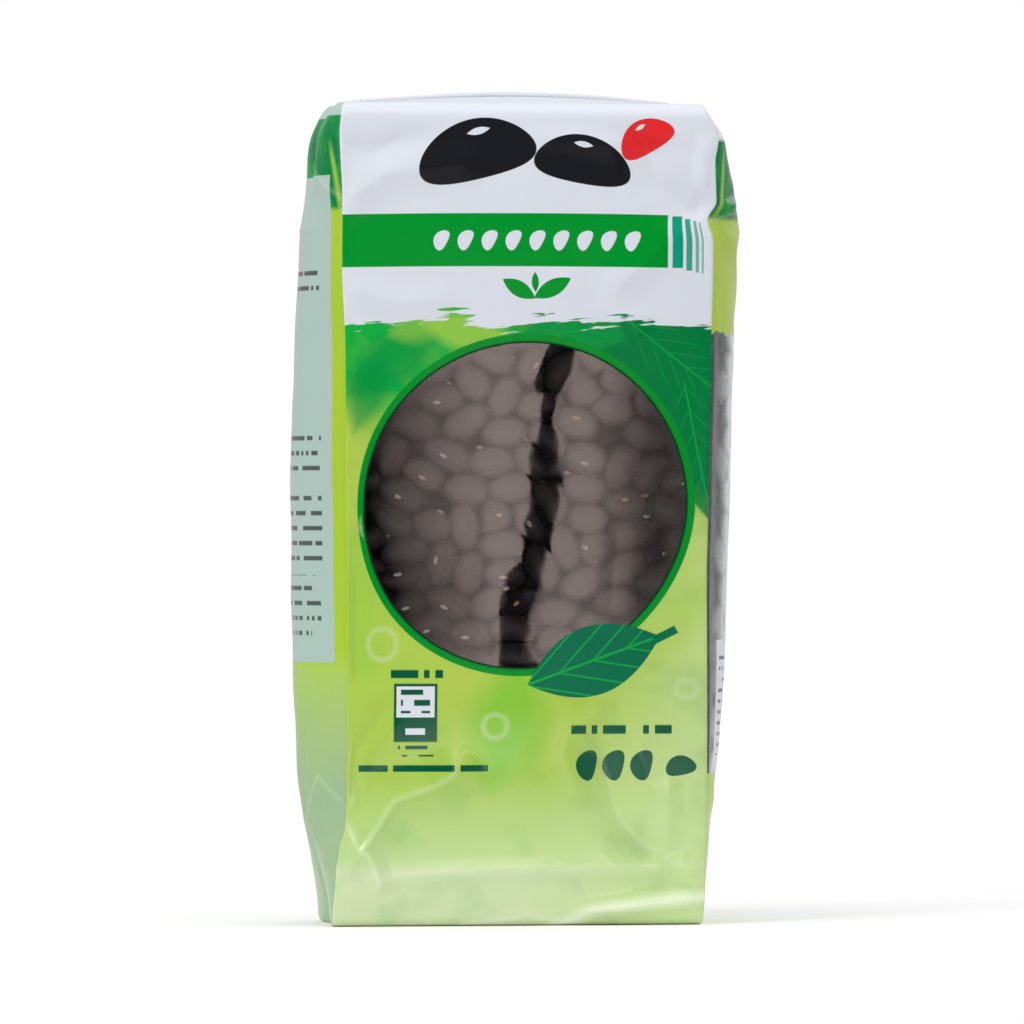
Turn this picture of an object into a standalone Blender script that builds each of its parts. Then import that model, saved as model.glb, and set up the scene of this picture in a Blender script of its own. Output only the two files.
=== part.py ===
"""A gusseted film bag of dried black beans, half a kilogram, standing on its folded foot.

Metres, +Z up, front panel facing -Y. The origin lies under the middle of the bag, on the surface it stands on.
The bag is one closed solid: the film drawn tight over the beans, with its folded top fin and its back seam.
"""

import math

import bmesh
import bpy

# Driving sizes of the filled bag
BAG_HEIGHT = 0.1812  # foot to the edge of the folded top
CREASE_HALF_WIDTH = 0.0405  # middle of the front panel to its side creases
END_HALF_DEPTH = 0.0155  # middle of the bag to its creases, at foot and top
BELLY_HALF_DEPTH = 0.0208  # the same where the beans push the panels apart
FRONT_SWELL = 0.0021  # how far the front panel crowns between its creases
BACK_SWELL = 0.0017
SIDE_SWELL = 0.0087  # how far the side gussets swell out past the creases
TOP_CROWN = 0.0019  # rise of the folded top between its edges

# How quickly the bag fills out from its ends
FOOT_REACH = 0.065  # height at which the sides have filled out
TOP_REACH = 0.018  # distance below the top at which they draw in
FOOT_DEPTH_REACH = 0.060
TOP_DEPTH_REACH = 0.070
FOOT_EASE = 1.8
TOP_EASE = 1.9

# The creases spread a little below the top, where the closed end opens out
SHOULDER = 0.0014
SHOULDER_HEIGHT = 0.0165  # its distance below the top
SHOULDER_REACH = 0.0125

# The bag leans a little, as settled beans make it
LEAN = 0.0014
LEAN_HEIGHT = 0.045  # where it sits furthest to the left
LEAN_HALF_WAVE = 0.115
CENTRING = (-0.00006, -0.0001)  # brings the middle of the leaning bag over the origin

# Rounded foot and top edges
FOOT_RADIUS = 0.0018
TOP_RADIUS = 0.0036
CORNER_SHARE = 0.35  # the corners keep sharper than the panels' edges
ARC_STEPS = 3

# Gusset folds: the middle of each side is tucked in where the film closes
TOP_TUCK = 0.0075
TOP_TUCK_REACH = 0.028
FOOT_TUCK = 0.0030
FOOT_TUCK_REACH = 0.022

# Folded fins of sealed film, laid flat on the bag
FIN_LENGTH = 0.0740  # the top fin runs from gusset to gusset
FIN_WIDTH = 0.0120
FIN_RISE = 0.0010
FIN_MIDDLE = 0.35  # its middle, as a share of the way from mid-depth to the back edge
SEAM_WIDTH = 0.0100  # the back seam runs down the middle of the back panel
SEAM_RISE = 0.0006
SEAM_ENDS = (0.06, 0.94)  # as shares of the bag's height
FIN_ROOT = 0.0012  # how far a fin's solid reaches into the bag

# Fineness of the mesh
ACROSS = 14
DEEP = 10
UPWARD = 24

FILM_COLOUR = (0.40, 0.62, 0.16, 1.0)
FILM_ROUGHNESS = 0.32


def clear_scene():
    for thing in list(bpy.data.objects):
        bpy.data.objects.remove(thing, do_unlink=True)


def filling(distance, reach, ease):
    """0 at a closed end of the bag, 1 from reach onwards, rising quickly at first."""
    share = min(max(distance / reach, 0.0), 1.0)
    return 1.0 - (1.0 - share) ** ease


def side_filling(z):
    foot = filling(z, FOOT_REACH, FOOT_EASE)
    return foot * filling(BAG_HEIGHT - z, TOP_REACH, TOP_EASE)


def depth_filling(z):
    foot = filling(z, FOOT_DEPTH_REACH, FOOT_EASE)
    return foot * filling(BAG_HEIGHT - z, TOP_DEPTH_REACH, TOP_EASE)


def tuck(z):
    """How far the middle of a side gusset is folded in at this height."""
    near_top = max(0.0, 1.0 - (BAG_HEIGHT - z) / TOP_TUCK_REACH)
    near_foot = max(0.0, 1.0 - z / FOOT_TUCK_REACH)
    return TOP_TUCK * math.sin(near_top * math.pi / 2) + FOOT_TUCK * math.sin(near_foot * math.pi / 2)


def shoulder(z):
    offset = (BAG_HEIGHT - z - SHOULDER_HEIGHT) / SHOULDER_REACH
    return SHOULDER * max(0.0, 1.0 - offset**2)


def lean(z):
    return -LEAN * math.cos(math.pi * (z - LEAN_HEIGHT) / LEAN_HALF_WAVE)


def bag_point(across, deep, z, inset):
    """The bag's point at height z, with across and deep each running from -1 to 1 between its panels.

    The rounded ends draw the panels in by inset, and the gussets by a smaller share of it.
    """
    crown = 1.0 - across**2
    belly = 1.0 - deep**2
    half_depth = END_HALF_DEPTH + (BELLY_HALF_DEPTH - END_HALF_DEPTH) * depth_filling(z) - inset
    swell = (FRONT_SWELL if deep < 0 else BACK_SWELL) * depth_filling(z) * crown
    half_width = CREASE_HALF_WIDTH + shoulder(z) - inset * CORNER_SHARE
    half_width += SIDE_SWELL * side_filling(z) * belly - tuck(z) * (1.0 - abs(deep)) ** 2
    x = across * half_width + lean(z) + CENTRING[0]
    y = deep * (half_depth + swell) + CENTRING[1]
    return x, y, z


def rings():
    """Height and inset of each ring of the bag from the foot up: rounded foot edge, walls, rounded top edge."""
    bends = [math.pi / 2 * n / ARC_STEPS for n in range(ARC_STEPS)]
    foot = [(FOOT_RADIUS * (1 - math.cos(bend)), FOOT_RADIUS * (1 - math.sin(bend))) for bend in bends]
    top = [(TOP_RADIUS * (1 - math.cos(bend)), TOP_RADIUS * (1 - math.sin(bend))) for bend in bends]
    top = [(BAG_HEIGHT - drop, inset) for drop, inset in reversed(top)]
    low = FOOT_RADIUS
    high = BAG_HEIGHT - TOP_RADIUS
    walls = [(low + (high - low) * n / UPWARD, 0.0) for n in range(UPWARD + 1)]
    return foot + walls + top


def cut_cube(cuts):
    """A cube of side 2 with its edges along X, Y and Z cut into that many pieces."""
    shape = bmesh.new()
    bmesh.ops.create_cube(shape, size=2.0)
    for axis, pieces in enumerate(cuts):
        along = [e for e in shape.edges if abs(e.verts[0].co[axis] - e.verts[1].co[axis]) > 1.0]
        bmesh.ops.subdivide_edges(shape, edges=along, cuts=pieces - 1, use_grid_fill=True)
    return shape


def film_material():
    material = bpy.data.materials.new("printed_film")
    material.use_nodes = True
    surface = material.node_tree.nodes["Principled BSDF"]
    surface.inputs["Base Color"].default_value = FILM_COLOUR
    surface.inputs["Roughness"].default_value = FILM_ROUGHNESS
    surface.inputs["Metallic"].default_value = 0.0
    return material


def add_object(name, shape, collection):
    mesh = bpy.data.meshes.new(name)
    bmesh.ops.recalc_face_normals(shape, faces=shape.faces)
    shape.to_mesh(mesh)
    shape.free()
    thing = bpy.data.objects.new(name, mesh)
    collection.objects.link(thing)
    return thing


def filled_bag(collection):
    """The film drawn over the beans: a cut cube whose rings follow the bag's outline."""
    levels = rings()
    shape = cut_cube((ACROSS, DEEP, len(levels) - 1))
    for vertex in shape.verts:
        across, deep, upward = vertex.co
        z, inset = levels[round((upward + 1) / 2 * (len(levels) - 1))]
        place = bag_point(across, deep, z, inset)
        rise = 0.0
        if upward > 0.999:
            rise = TOP_CROWN * (1 - across**2) * (1 - deep**2)
        vertex.co = (place[0], place[1], place[2] + rise)
    return add_object("bag_of_beans", shape, collection)


def top_fin(collection):
    """The sealed top of the film, folded flat towards the back."""
    shape = cut_cube((ACROSS, 4, 1))
    inset = TOP_RADIUS
    for vertex in shape.verts:
        across = vertex.co.x * FIN_LENGTH / 2 / (CREASE_HALF_WIDTH - inset * CORNER_SHARE)
        deep = FIN_MIDDLE + vertex.co.y * FIN_WIDTH / 2 / (END_HALF_DEPTH - inset)
        x, y, z = bag_point(across, deep, BAG_HEIGHT, inset)
        z += TOP_CROWN * (1 - across**2) * (1 - deep**2)
        vertex.co = (x, y, z + (FIN_RISE if vertex.co.z > 0 else -FIN_ROOT))
    return add_object("top_fin", shape, collection)


def back_seam(collection):
    """The long seam that closes the film into a tube, pressed flat down the back."""
    shape = cut_cube((4, 1, UPWARD))
    low, high = (share * BAG_HEIGHT for share in SEAM_ENDS)
    for vertex in shape.verts:
        across = vertex.co.x * SEAM_WIDTH / 2 / CREASE_HALF_WIDTH
        z = low + (high - low) * (vertex.co.z + 1) / 2
        x, y, z = bag_point(across, 1.0, z, 0.0)
        vertex.co = (x, y + (SEAM_RISE if vertex.co.y > 0 else -FIN_ROOT), z)
    return add_object("back_seam", shape, collection)


def fuse(bag, fins, cutters):
    """Makes the bag and its fins one solid."""
    join = bag.modifiers.new("fins", "BOOLEAN")
    join.operation = "UNION"
    join.operand_type = "COLLECTION"
    join.collection = cutters
    join.solver = "EXACT"
    evaluated = bag.evaluated_get(bpy.context.evaluated_depsgraph_get())
    fused = bpy.data.meshes.new_from_object(evaluated)
    bag.modifiers.clear()
    bag.data = fused
    for fin in fins:
        bpy.data.objects.remove(fin, do_unlink=True)


def main():
    clear_scene()
    parts = bpy.data.collections.new("bag_of_black_beans")
    fins = bpy.data.collections.new("fins")
    bpy.context.scene.collection.children.link(parts)
    bpy.context.scene.collection.children.link(fins)
    bag = filled_bag(parts)
    fuse(bag, [top_fin(fins), back_seam(fins)], fins)
    bag.data.materials.clear()
    bag.data.materials.append(film_material())
    bag.data.shade_smooth()
    bag.data.set_sharp_from_angle(angle=math.radians(35))


main()
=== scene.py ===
import math
import random

import bmesh
import bpy
import numpy as np
from mathutils import Matrix, Vector, noise


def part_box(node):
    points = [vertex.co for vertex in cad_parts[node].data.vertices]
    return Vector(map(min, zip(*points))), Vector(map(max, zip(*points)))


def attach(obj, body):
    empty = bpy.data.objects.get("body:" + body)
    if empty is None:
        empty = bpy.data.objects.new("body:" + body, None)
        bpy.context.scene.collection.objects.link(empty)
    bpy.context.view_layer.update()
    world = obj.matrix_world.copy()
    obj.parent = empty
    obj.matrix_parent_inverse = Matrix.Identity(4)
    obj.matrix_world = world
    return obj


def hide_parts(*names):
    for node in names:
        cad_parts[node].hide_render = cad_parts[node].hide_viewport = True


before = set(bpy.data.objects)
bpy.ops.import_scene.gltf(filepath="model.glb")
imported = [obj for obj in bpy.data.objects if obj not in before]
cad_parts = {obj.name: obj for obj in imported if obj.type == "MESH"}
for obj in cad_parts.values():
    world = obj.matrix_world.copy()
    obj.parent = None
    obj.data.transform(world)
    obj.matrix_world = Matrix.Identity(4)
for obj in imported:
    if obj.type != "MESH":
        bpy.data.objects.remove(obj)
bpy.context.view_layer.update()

# A film bag of dried black beans, printed all over but for a round window and a strip of the right gusset.
# Lengths are in metres. The prints and the folds are laid out in millimetres of flat film.

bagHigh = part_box("bag_of_beans")[1]
mm = 0.001

# The filled bag: the same form as the solid it replaces
bag = {
    "height": bagHigh[2] - 2.9 * mm,  # the crown and the folded fin stand above it
    "creaseHalf": 40.5 * mm,
    "foldDepth": 19 * mm,  # the gussets' half depth, for the rounding of their creases
    "endDepth": 15.5 * mm,
    "bellyDepth": 20.8 * mm,
    "frontSwell": 2.1 * mm,
    "backSwell": 1.7 * mm,
    "sideSwell": 8.7 * mm,
    "topCrown": 1.9 * mm,
    "footReach": 65 * mm,
    "topReach": 18 * mm,
    "footDepthReach": 60 * mm,
    "topDepthReach": 70 * mm,
    "footEase": 1.8,
    "topEase": 1.9,
    "shoulder": 1.4 * mm,
    "shoulderDrop": 16.5 * mm,
    "shoulderReach": 12.5 * mm,
    "lean": 1.4 * mm,
    "leanHeight": 45 * mm,
    "leanHalfWave": 115 * mm,
    "centring": (-0.06 * mm, -0.1 * mm),
    "footRadius": 1.8 * mm,
    "topRadius": 3.6 * mm,
    "cornerShare": 0.35,
    "topTuck": 7.5 * mm,
    "topTuckReach": 28 * mm,
    "footTuck": 3.0 * mm,
    "footTuckReach": 22 * mm,
    "foldRadius": 0.7 * mm,  # of the sharp side creases
}

# Where the two front creases run on their way up, in millimetres: height, x
frontCrease = {
    -1: [(0, -41.9), (12, -41.2), (16.5, -40.6), (22, -39.3), (28, -39.0), (126, -39.5), (145, -40.1),
         (160, -39.9), (174, -40.3), (180, -39.8)],
    1: [(0, 41.0), (23, 41.3), (76, 41.0), (94, 41.4), (126, 42.1), (150.6, 42.7), (155.4, 41.6),
        (159.4, 43.6), (168, 43.5), (173, 44.3), (180.5, 41.9)],
}

# How much the gussets hang in from their full swell, in millimetres: height, shift
sideSlack = {
    -1: [(30, 0.0), (46, 1.2), (64, 1.5), (82, 0.8), (100, 0.1), (130, 0.2), (148, 1.1), (163.5, 1.9),
         (179, -2.9)],
    1: [(12, 0.0), (24, 1.1), (38, 0.9), (60, 0.9), (76, 0.6), (95, 0.4), (115, 0.7), (128, 0.5), (146, 0.7),
        (155.5, -0.7), (161.5, 1.3), (169, 0.4), (176, 0.0)],
}

film = {
    "columns": 150,
    "sideColumns": 84,
    "rows": 300,
    "edgeCrowding": 0.5,
    "scale": 0.2,  # metres of film across the unit square of its UV map
    "middle": (0.5, 0.0),  # where the middle of a front or back panel's foot lies on that map
    "sideHalf": 24 * mm,  # half the width of a gusset
    "creaseFade": 4 * mm,  # the relief dies away this near to the creases, the top and the foot
    "topFade": 6 * mm,
    "footFade": 1.5 * mm,
}
window = {"u": 0.2 * mm, "v": 92.5 * mm, "clear": 35.6 * mm, "ring": 37.5 * mm, "cut": 36.5 * mm}
sideStrip = {"low": 33.4 * mm, "high": 130 * mm, "cutLow": 30.5 * mm, "cutHigh": 135.5 * mm}


def smooth(value):
    value = np.clip(value, 0.0, 1.0)
    return value * value * (3.0 - 2.0 * value)


def along(z, stops):
    # smooth course through the stops, given in millimetres
    heights = [height * mm for height, shift in stops]
    shifts = [shift * mm for height, shift in stops]
    course = np.zeros_like(z) + shifts[0]
    for k in range(len(stops) - 1):
        step = smooth((z - heights[k]) / (heights[k + 1] - heights[k]))
        course = course + (shifts[k + 1] - shifts[k]) * step
    return course


def filling(distance, reach, ease):
    return 1.0 - (1.0 - np.clip(distance / reach, 0.0, 1.0)) ** ease


def bagSection(across, deep, z, inset):
    # across and deep run from -1 to 1 between the panels; the rounded ends draw in by inset
    crown = 1.0 - across**2
    belly = 1.0 - deep**2
    toTop = bag["height"] - z
    sideFill = filling(z, bag["footReach"], bag["footEase"]) * filling(toTop, bag["topReach"], bag["topEase"])
    depthFill = filling(z, bag["footDepthReach"], bag["footEase"])
    depthFill = depthFill * filling(toTop, bag["topDepthReach"], bag["topEase"])
    nearTop = np.clip(1.0 - toTop / bag["topTuckReach"], 0.0, 1.0)
    nearFoot = np.clip(1.0 - z / bag["footTuckReach"], 0.0, 1.0)
    tuck = bag["topTuck"] * np.sin(nearTop * math.pi / 2) + bag["footTuck"] * np.sin(nearFoot * math.pi / 2)
    offShoulder = (toTop - bag["shoulderDrop"]) / bag["shoulderReach"]
    shoulder = bag["shoulder"] * np.clip(1.0 - offShoulder ** 2, 0.0, 1.0)
    swing = math.pi * (z - bag["leanHeight"]) / bag["leanHalfWave"]
    lean = -bag["lean"] * np.cos(swing) + bag["centring"][0]
    crease = np.where(across < 0, lean - along(z, frontCrease[-1]), along(z, frontCrease[1]) - lean)
    wander = (crease - bag["creaseHalf"] - shoulder) * ((1.0 - deep) / 2) ** 1.5
    halfDepth = bag["endDepth"] + (bag["bellyDepth"] - bag["endDepth"]) * depthFill - inset
    swell = np.where(deep < 0, bag["frontSwell"], bag["backSwell"]) * depthFill * crown
    halfWidth = bag["creaseHalf"] + shoulder - inset * bag["cornerShare"] + wander * abs(across) ** 5
    slack = np.where(across < 0, along(z, sideSlack[-1]), along(z, sideSlack[1]))
    halfWidth = halfWidth + (bag["sideSwell"] * sideFill - slack) * belly - tuck * (1.0 - abs(deep)) ** 2
    x = across * halfWidth + lean
    y = deep * (halfDepth + swell) + bag["centring"][1]
    return x, y


def filmPath(v):
    # height and inset of the film v metres up its length; on the walls v is the height itself
    footBend = np.clip((bag["footRadius"] - v) / bag["footRadius"], 0.0, math.pi / 2)
    topStart = bag["height"] - bag["topRadius"]
    topBend = np.clip((v - topStart) / bag["topRadius"], 0.0, math.pi / 2)
    z = np.clip(v, bag["footRadius"], topStart)
    z = z - bag["footRadius"] * np.sin(footBend) + bag["topRadius"] * np.sin(topBend)
    inset = bag["footRadius"] * (1.0 - np.cos(footBend)) + bag["topRadius"] * (1.0 - np.cos(topBend))
    return z, inset


filmStart = bag["footRadius"] * (1.0 - math.pi / 2)
filmEnd = bag["height"] + bag["topRadius"] * (math.pi / 2 - 1.0)


def upFilm(share):
    # metres up the film, for a share of -1 to 1
    return filmStart + (filmEnd - filmStart) * (share + 1) / 2


def crowd(share):
    # -1 to 1, with the mesh finer towards the creases
    return share + film["edgeCrowding"] * np.sin(math.pi * share) / math.pi


def foldRound(distance):
    # a sharp fold of small radius: how far a point is moved along its panel and in from it
    inside = np.clip(1.0 - distance / bag["foldRadius"], 0.0, 1.0)
    turn = inside * math.pi / 4
    back = np.where(distance < bag["foldRadius"], distance - bag["foldRadius"] * (1.0 - np.sin(turn)), 0.0)
    return back, bag["foldRadius"] * (1.0 - np.cos(turn))


def addPiece(name, shape, material):
    # a finished piece: its mesh lies where it belongs and its object stays at the origin
    mesh = bpy.data.meshes.new(name)
    shape.to_mesh(mesh)
    shape.free()
    mesh.shade_smooth()
    mesh.materials.append(material)
    piece = bpy.data.objects.new(name, mesh)
    bpy.context.scene.collection.objects.link(piece)
    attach(piece, "root")
    return piece


def movePoints(shape, points):
    for vert, point in zip(shape.verts, points):
        vert.co = point


def writeLayer(shape, name, values):
    layer = shape.verts.layers.float.new(name)
    for vert, value in zip(shape.verts, values):
        vert[layer] = value


def layFilm(columns, rows, place):
    # a flat grid laid into its place: place turns two arrays of -1 to 1 into points, film coordinates
    # and how much whiter the print is painted along its folds, as worn film with a painted highlight on each
    # fold
    shape = bmesh.new()
    bmesh.ops.create_grid(shape, x_segments=columns, y_segments=rows, size=1.0)
    uvLayer = shape.loops.layers.uv.new("film")
    share = np.array([(vert.co.x, vert.co.y) for vert in shape.verts])
    points, flat, wornAndHighlight = place(share[:, 0], share[:, 1])
    # the whiter print along the folds, worn film with a painted highlight, is kept as the crease layer
    writeLayer(shape, "crease", wornAndHighlight)
    movePoints(shape, points)
    shape.verts.index_update()
    for face in shape.faces:
        for loop in face.loops:
            loop[uvLayer].uv = flat[loop.vert.index]
    return shape


def keepFaces(shape, wanted):
    unwanted = [face for face in shape.faces if not wanted(face)]
    bmesh.ops.delete(shape, geom=unwanted, context="FACES")


def waves(points, size, seed):
    # smooth noise of about one unit, with bumps of the given size
    shift = Vector((seed * 7.3, seed * 3.1, seed * 5.7))
    return np.array([noise.noise(Vector(point) / size + shift) for point in points])


def fold(course, height, width, wornAndHighlight=0.0, wearAndHighlightWidth=1.0):
    # a pressed fold, in millimetres; then how much whiter the print is painted along it, as worn film
    # with a painted highlight, and how wide
    return {"course": course, "height": height, "width": width, "wornAndHighlight": wornAndHighlight, "wearAndHighlightWidth": wearAndHighlightWidth}


def foldLine(u, v, course, height, width):
    # the rise of one fold along its points; a facet slopes away on each side of it
    best = np.full_like(u, 1e9)
    for (u0, v0), (u1, v1) in zip(course[:-1], course[1:]):
        du, dv = u1 - u0, v1 - v0
        share = np.clip(((u - u0) * du + (v - v0) * dv) / (du * du + dv * dv), 0.0, 1.0)
        best = np.minimum(best, np.hypot(u - u0 - share * du, v - v0 - share * dv))
    slope = np.clip(1.0 - np.sqrt(best**2 + 0.04) / width, 0.0, 1.0)
    return height * slope ** 1.25


def wearAndHighlightOf(u, v, folds):
    # how much whiter the print is painted along its folds: worn film there with a painted highlight
    wornAndHighlight = np.zeros_like(u)
    for line in folds:
        if line["wornAndHighlight"]:
            wornAndHighlight = np.maximum(wornAndHighlight, foldLine(u, v, line["course"], line["wornAndHighlight"], line["wearAndHighlightWidth"]))
    return wornAndHighlight


def reliefOf(points, u, v, slack, folds):
    # the soft slack of the film, as height, size and seed of each noise, and its pressed folds
    rise = np.zeros_like(u)
    for height, size, seed in slack:
        rise = rise + height * waves(points, size * mm, seed)
    for line in folds:
        rise = rise + foldLine(u, v, line["course"], line["height"], line["width"])
    return rise


def panelPoints(axis, sign, share, v):
    # a smooth panel that faces along an axis, with share from -1 to 1 between its creases;
    # also how open it is: 1 on the panel, 0 at its creases and ends
    level = np.full_like(share, float(sign))
    across, deep = (level, share) if axis == 0 else (share, level)
    z, inset = filmPath(v)
    spot = list(bagSection(across, deep, z, inset))
    toCrease = (1.0 - abs(share)) * (bag["foldDepth"] if axis == 0 else bag["creaseHalf"])
    back, inwards = foldRound(toCrease)
    spot[1 - axis] = spot[1 - axis] + np.sign(share) * back
    spot[axis] = spot[axis] - sign * inwards
    openness = smooth(toCrease / film["creaseFade"])
    openness = openness * smooth((bag["height"] - bag["topRadius"] - v) / film["topFade"])
    openness = openness * smooth((v - bag["footRadius"]) / film["footFade"])
    return np.stack([*spot, z], axis=1), openness


def flatCoords(u, v, start):
    return np.stack([u, v], axis=1) / film["scale"] + start


# The front panel, in millimetres from its middle and from the foot
frontPanel = {
    "slack": (0.085, 0.02),
    "tightSlack": (0.01, 0.002),  # over the beans behind the window
    "slackSize": (15, 7),
    "tightReach": (41.0, 8.0),
    "folds": [
        fold([(-14.0, 33.5), (-18.6, 30.7), (-27.3, 27.9), (-32.2, 20.9), (-35.0, 16.5)],
             1.5, 7.0, 0.22, 1.1),
        fold([(-20.0, 29.9), (-27.3, 27.3), (-31.6, 20.9), (-34.4, 17.0)], 0.4, 1.4),
        fold([(-39.4, 22.0), (-35.2, 16.6), (-33.5, 15.8), (-31.7, 12.5), (-30.6, 9.2)], 1.1, 3.4, 0.5, 0.7),
        fold([(-38.6, 20.6), (-35.6, 17.4)], -0.9, 3.0),
        fold([(18.6, 38.0), (20.3, 32.3), (22.5, 23.9), (27.6, 18.0), (32.6, 15.4), (33.0, 8.0)],
             -1.5, 8.0, 0.14, 0.8),
        fold([(33.0, 30.0), (33.2, 15.2), (30.6, 12.0)], 0.6, 3.0),
        # the wide whitening of this fold at the foot is a painted gloss streak
        fold([(8.0, -0.4), (16.6, 3.2), (27.6, 4.6), (42.0, 6.4)], 1.8, 3.6, 0.9, 2.4),
        fold([(-30.6, 10.3), (-20.8, 11.2), (-5.4, 12.1), (16.6, 12.7), (42.0, 13.4)], 0.7, 3.6, 0.15, 1.4),
        fold([(-40.0, 8.4), (-33.0, 5.4), (-28.0, 5.6)], 0.5, 3.0),
        fold([(-12.0, 0.0), (2.0, 2.4), (9.0, 1.2)], 0.7, 2.0, 0.5, 1.2),
        fold([(-42.0, 158.0), (-30.0, 165.5), (-14.0, 167.5)], 0.8, 6.0),
        fold([(42.5, 155.4), (34.0, 158.0), (28.0, 164.0), (24.0, 176.0)], -1.5, 7.0),
        fold([(42.5, 156.0), (38.0, 163.0), (39.5, 172.0)], 0.9, 3.6),
        fold([(42.5, 155.4), (30.0, 151.0), (20.0, 141.0)], 0.6, 6.0),
        fold([(31.0, 176.0), (18.0, 172.0), (4.0, 174.5)], 0.5, 5.0),
        fold([(-42.0, 141.0), (-30.0, 137.0), (-20.0, 137.5)], 0.5, 5.0),
        fold([(-41.0, 172.0), (-33.0, 170.0), (-24.0, 175.0)], -0.6, 5.0),
        fold([(8.0, 142.0), (14.0, 136.0), (24.0, 133.0)], 0.4, 4.5),
        fold([(-30.0, 47.0), (-37.0, 39.0), (-38.5, 30.0)], -0.6, 4.0),
        fold([(5.3, 130.0), (1.2, 119.5), (-6.5, 105.5), (-9.0, 96.0)], 0.012, 3.0),
        fold([(21.2, 86.0), (20.2, 70.0)], -0.02, 4.0),
    ],
}

# Over the beans the tight film bends along a course between the two lights that it mirrors
windowPress = {
    "reach": (5.0, 11.0),
    "gap": (9.0, 10.9),  # the azimuths of the lights' edges, in degrees
    "azimuth": 8.0,
    "camera": 2000.0,
    "lights": 2400.0,
    "round": 390.5,  # radius of the panel's own swell
    "slump": 0.022,
    "slumpFrom": -5.0,
    "slumpHeight": (92.0, 22.0),
    "ends": (50.0, 138.0, 7.0),  # foot, top and fade of the bend
    "bend": [  # height, left and right edge
        (56.0, -5.0, 0.6), (60.5, -4.7, 0.9), (66.1, -4.9, 2.0), (71.7, -4.5, 3.4), (77.3, -3.4, 4.0),
        (80.5, 0.2, 4.7), (84.5, 0.9, 5.5), (88.5, 0.6, 6.2), (91.5, 1.9, 7.0), (95.5, 1.9, 7.7),
        (99.7, 1.2, 7.7), (103.0, 0.9, 7.0), (105.8, 2.2, 6.4), (110.9, 3.3, 5.9), (113.5, 2.9, 6.4),
        (116.5, 3.4, 7.0), (122.1, 3.0, 9.3), (127.7, 5.1, 9.9), (132.0, 6.6, 10.4),
    ],
}


def windowPressed(u, v):
    # the film's slope at each edge of the bend is the one that mirrors the gap's edge to the camera
    heights, lefts, rights = zip(*windowPress["bend"])
    edges = []
    for course, turn in zip((lefts, rights), windowPress["gap"]):
        edge = np.interp(v, heights, course)
        parallax = edge * (1.0 / windowPress["camera"] + 1.0 / windowPress["lights"])
        slope = (math.radians(turn - windowPress["azimuth"]) - parallax) / 2 - edge / windowPress["round"]
        edges.append((edge, slope))
    (left, leftSlope), (right, rightSlope) = edges
    leadIn, leadOut = windowPress["reach"]
    before = np.clip((u - left) / leadIn + 1.0, 0.0, 1.0)
    within = np.clip((u - left) / (right - left), 0.0, 1.0)
    after = np.clip((u - right) / leadOut, 0.0, 1.0)
    fall = leftSlope * leadIn * before**2 / 2
    fall = fall + (right - left) * (leftSlope * within + (rightSlope - leftSlope) * within**2 / 2)
    fall = fall + rightSlope * leadOut * (after - after**2 / 2)
    slumpTop, slumpReach = windowPress["slumpHeight"]
    slump = np.clip(windowPress["slumpFrom"] - u, 0.0, 40.0) * smooth((slumpTop - v) / slumpReach)
    low, high, fade = windowPress["ends"]
    return -(fall + slump * windowPress["slump"]) * smooth((v - low) / fade) * smooth((high - v) / fade)


def frontSurface(u, v):
    # points of the front panel from its film coordinates in metres
    points, openness = panelPoints(1, -1, u / bag["creaseHalf"], v)
    u, v = u / mm, v / mm
    reach, fade = frontPanel["tightReach"]
    tight = smooth((reach - np.hypot(u - window["u"] / mm, v - window["v"] / mm)) / fade)
    slack = []
    for loose, held, size in zip(frontPanel["slack"], frontPanel["tightSlack"], frontPanel["slackSize"]):
        slack.append((loose - (loose - held) * tight, size, len(slack) + 1))
    rise = reliefOf(points, u, v, slack, frontPanel["folds"])
    points[:, 1] -= (rise + windowPressed(u, v)) * mm * openness
    return points


def frontPlace(shareX, shareY):
    u = crowd(shareX) * bag["creaseHalf"]
    v = upFilm(shareY)
    return frontSurface(u, v), flatCoords(u, v, film["middle"]), wearAndHighlightOf(u / mm, v / mm, frontPanel["folds"])


# The gussets; the first number of a point runs from the left edge as seen from outside
gusset = {
    "slack": (0.12, 0.03),
    "slackSize": (15, 7),
    "folds": {
        -1: [
            fold([(24, 181), (24, 150), (22, 120)], -0.5, 5.0),
            fold([(48, 160), (36, 166), (24, 158)], 0.5, 5.0, 0.2, 0.8),
            fold([(24, 0), (24, 24), (30, 44)], -0.5, 5.0),
            fold([(46, 28), (38, 33), (28, 24)], 0.45, 4.5, 0.2, 0.9),
            fold([(46, 19), (36, 17), (26, 22)], 0.35, 3.5),
            fold([(10, 60), (20, 72), (36, 76)], 0.3, 6.0),
        ],
        1: [
            fold([(24, 181), (24, 158), (23, 146)], -0.5, 5.0),
            fold([(0, 155.4), (8, 157), (14, 163), (24, 166)], 0.7, 4.0, 0.25, 0.8),
            fold([(0, 154.4), (12, 150), (22, 138)], 0.5, 5.0),
            fold([(24, 0), (24, 24), (18, 44)], -0.5, 5.0),
            fold([(2, 30), (12, 27), (22, 20)], 0.4, 4.0),
        ],
    },
}


def sidePlace(side):
    def place(shareX, shareY):
        # seen from outside the columns run to the right, so the right gusset starts at the front
        deep = crowd(shareX) * side
        v = upFilm(shareY)
        points, openness = panelPoints(0, side, deep, v)
        fromLeft = (deep * side + 1.0) * film["sideHalf"] / mm
        folds = gusset["folds"][side]
        slack = zip(gusset["slack"], gusset["slackSize"], (3 + side, 5 + side))
        points[:, 0] += side * reliefOf(points, fromLeft, v / mm, slack, folds) * mm * openness
        flat = flatCoords((deep + 1.0) * film["sideHalf"], v, (0.0, 0.0))
        return points, flat, wearAndHighlightOf(fromLeft, v / mm, folds)
    return place


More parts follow.
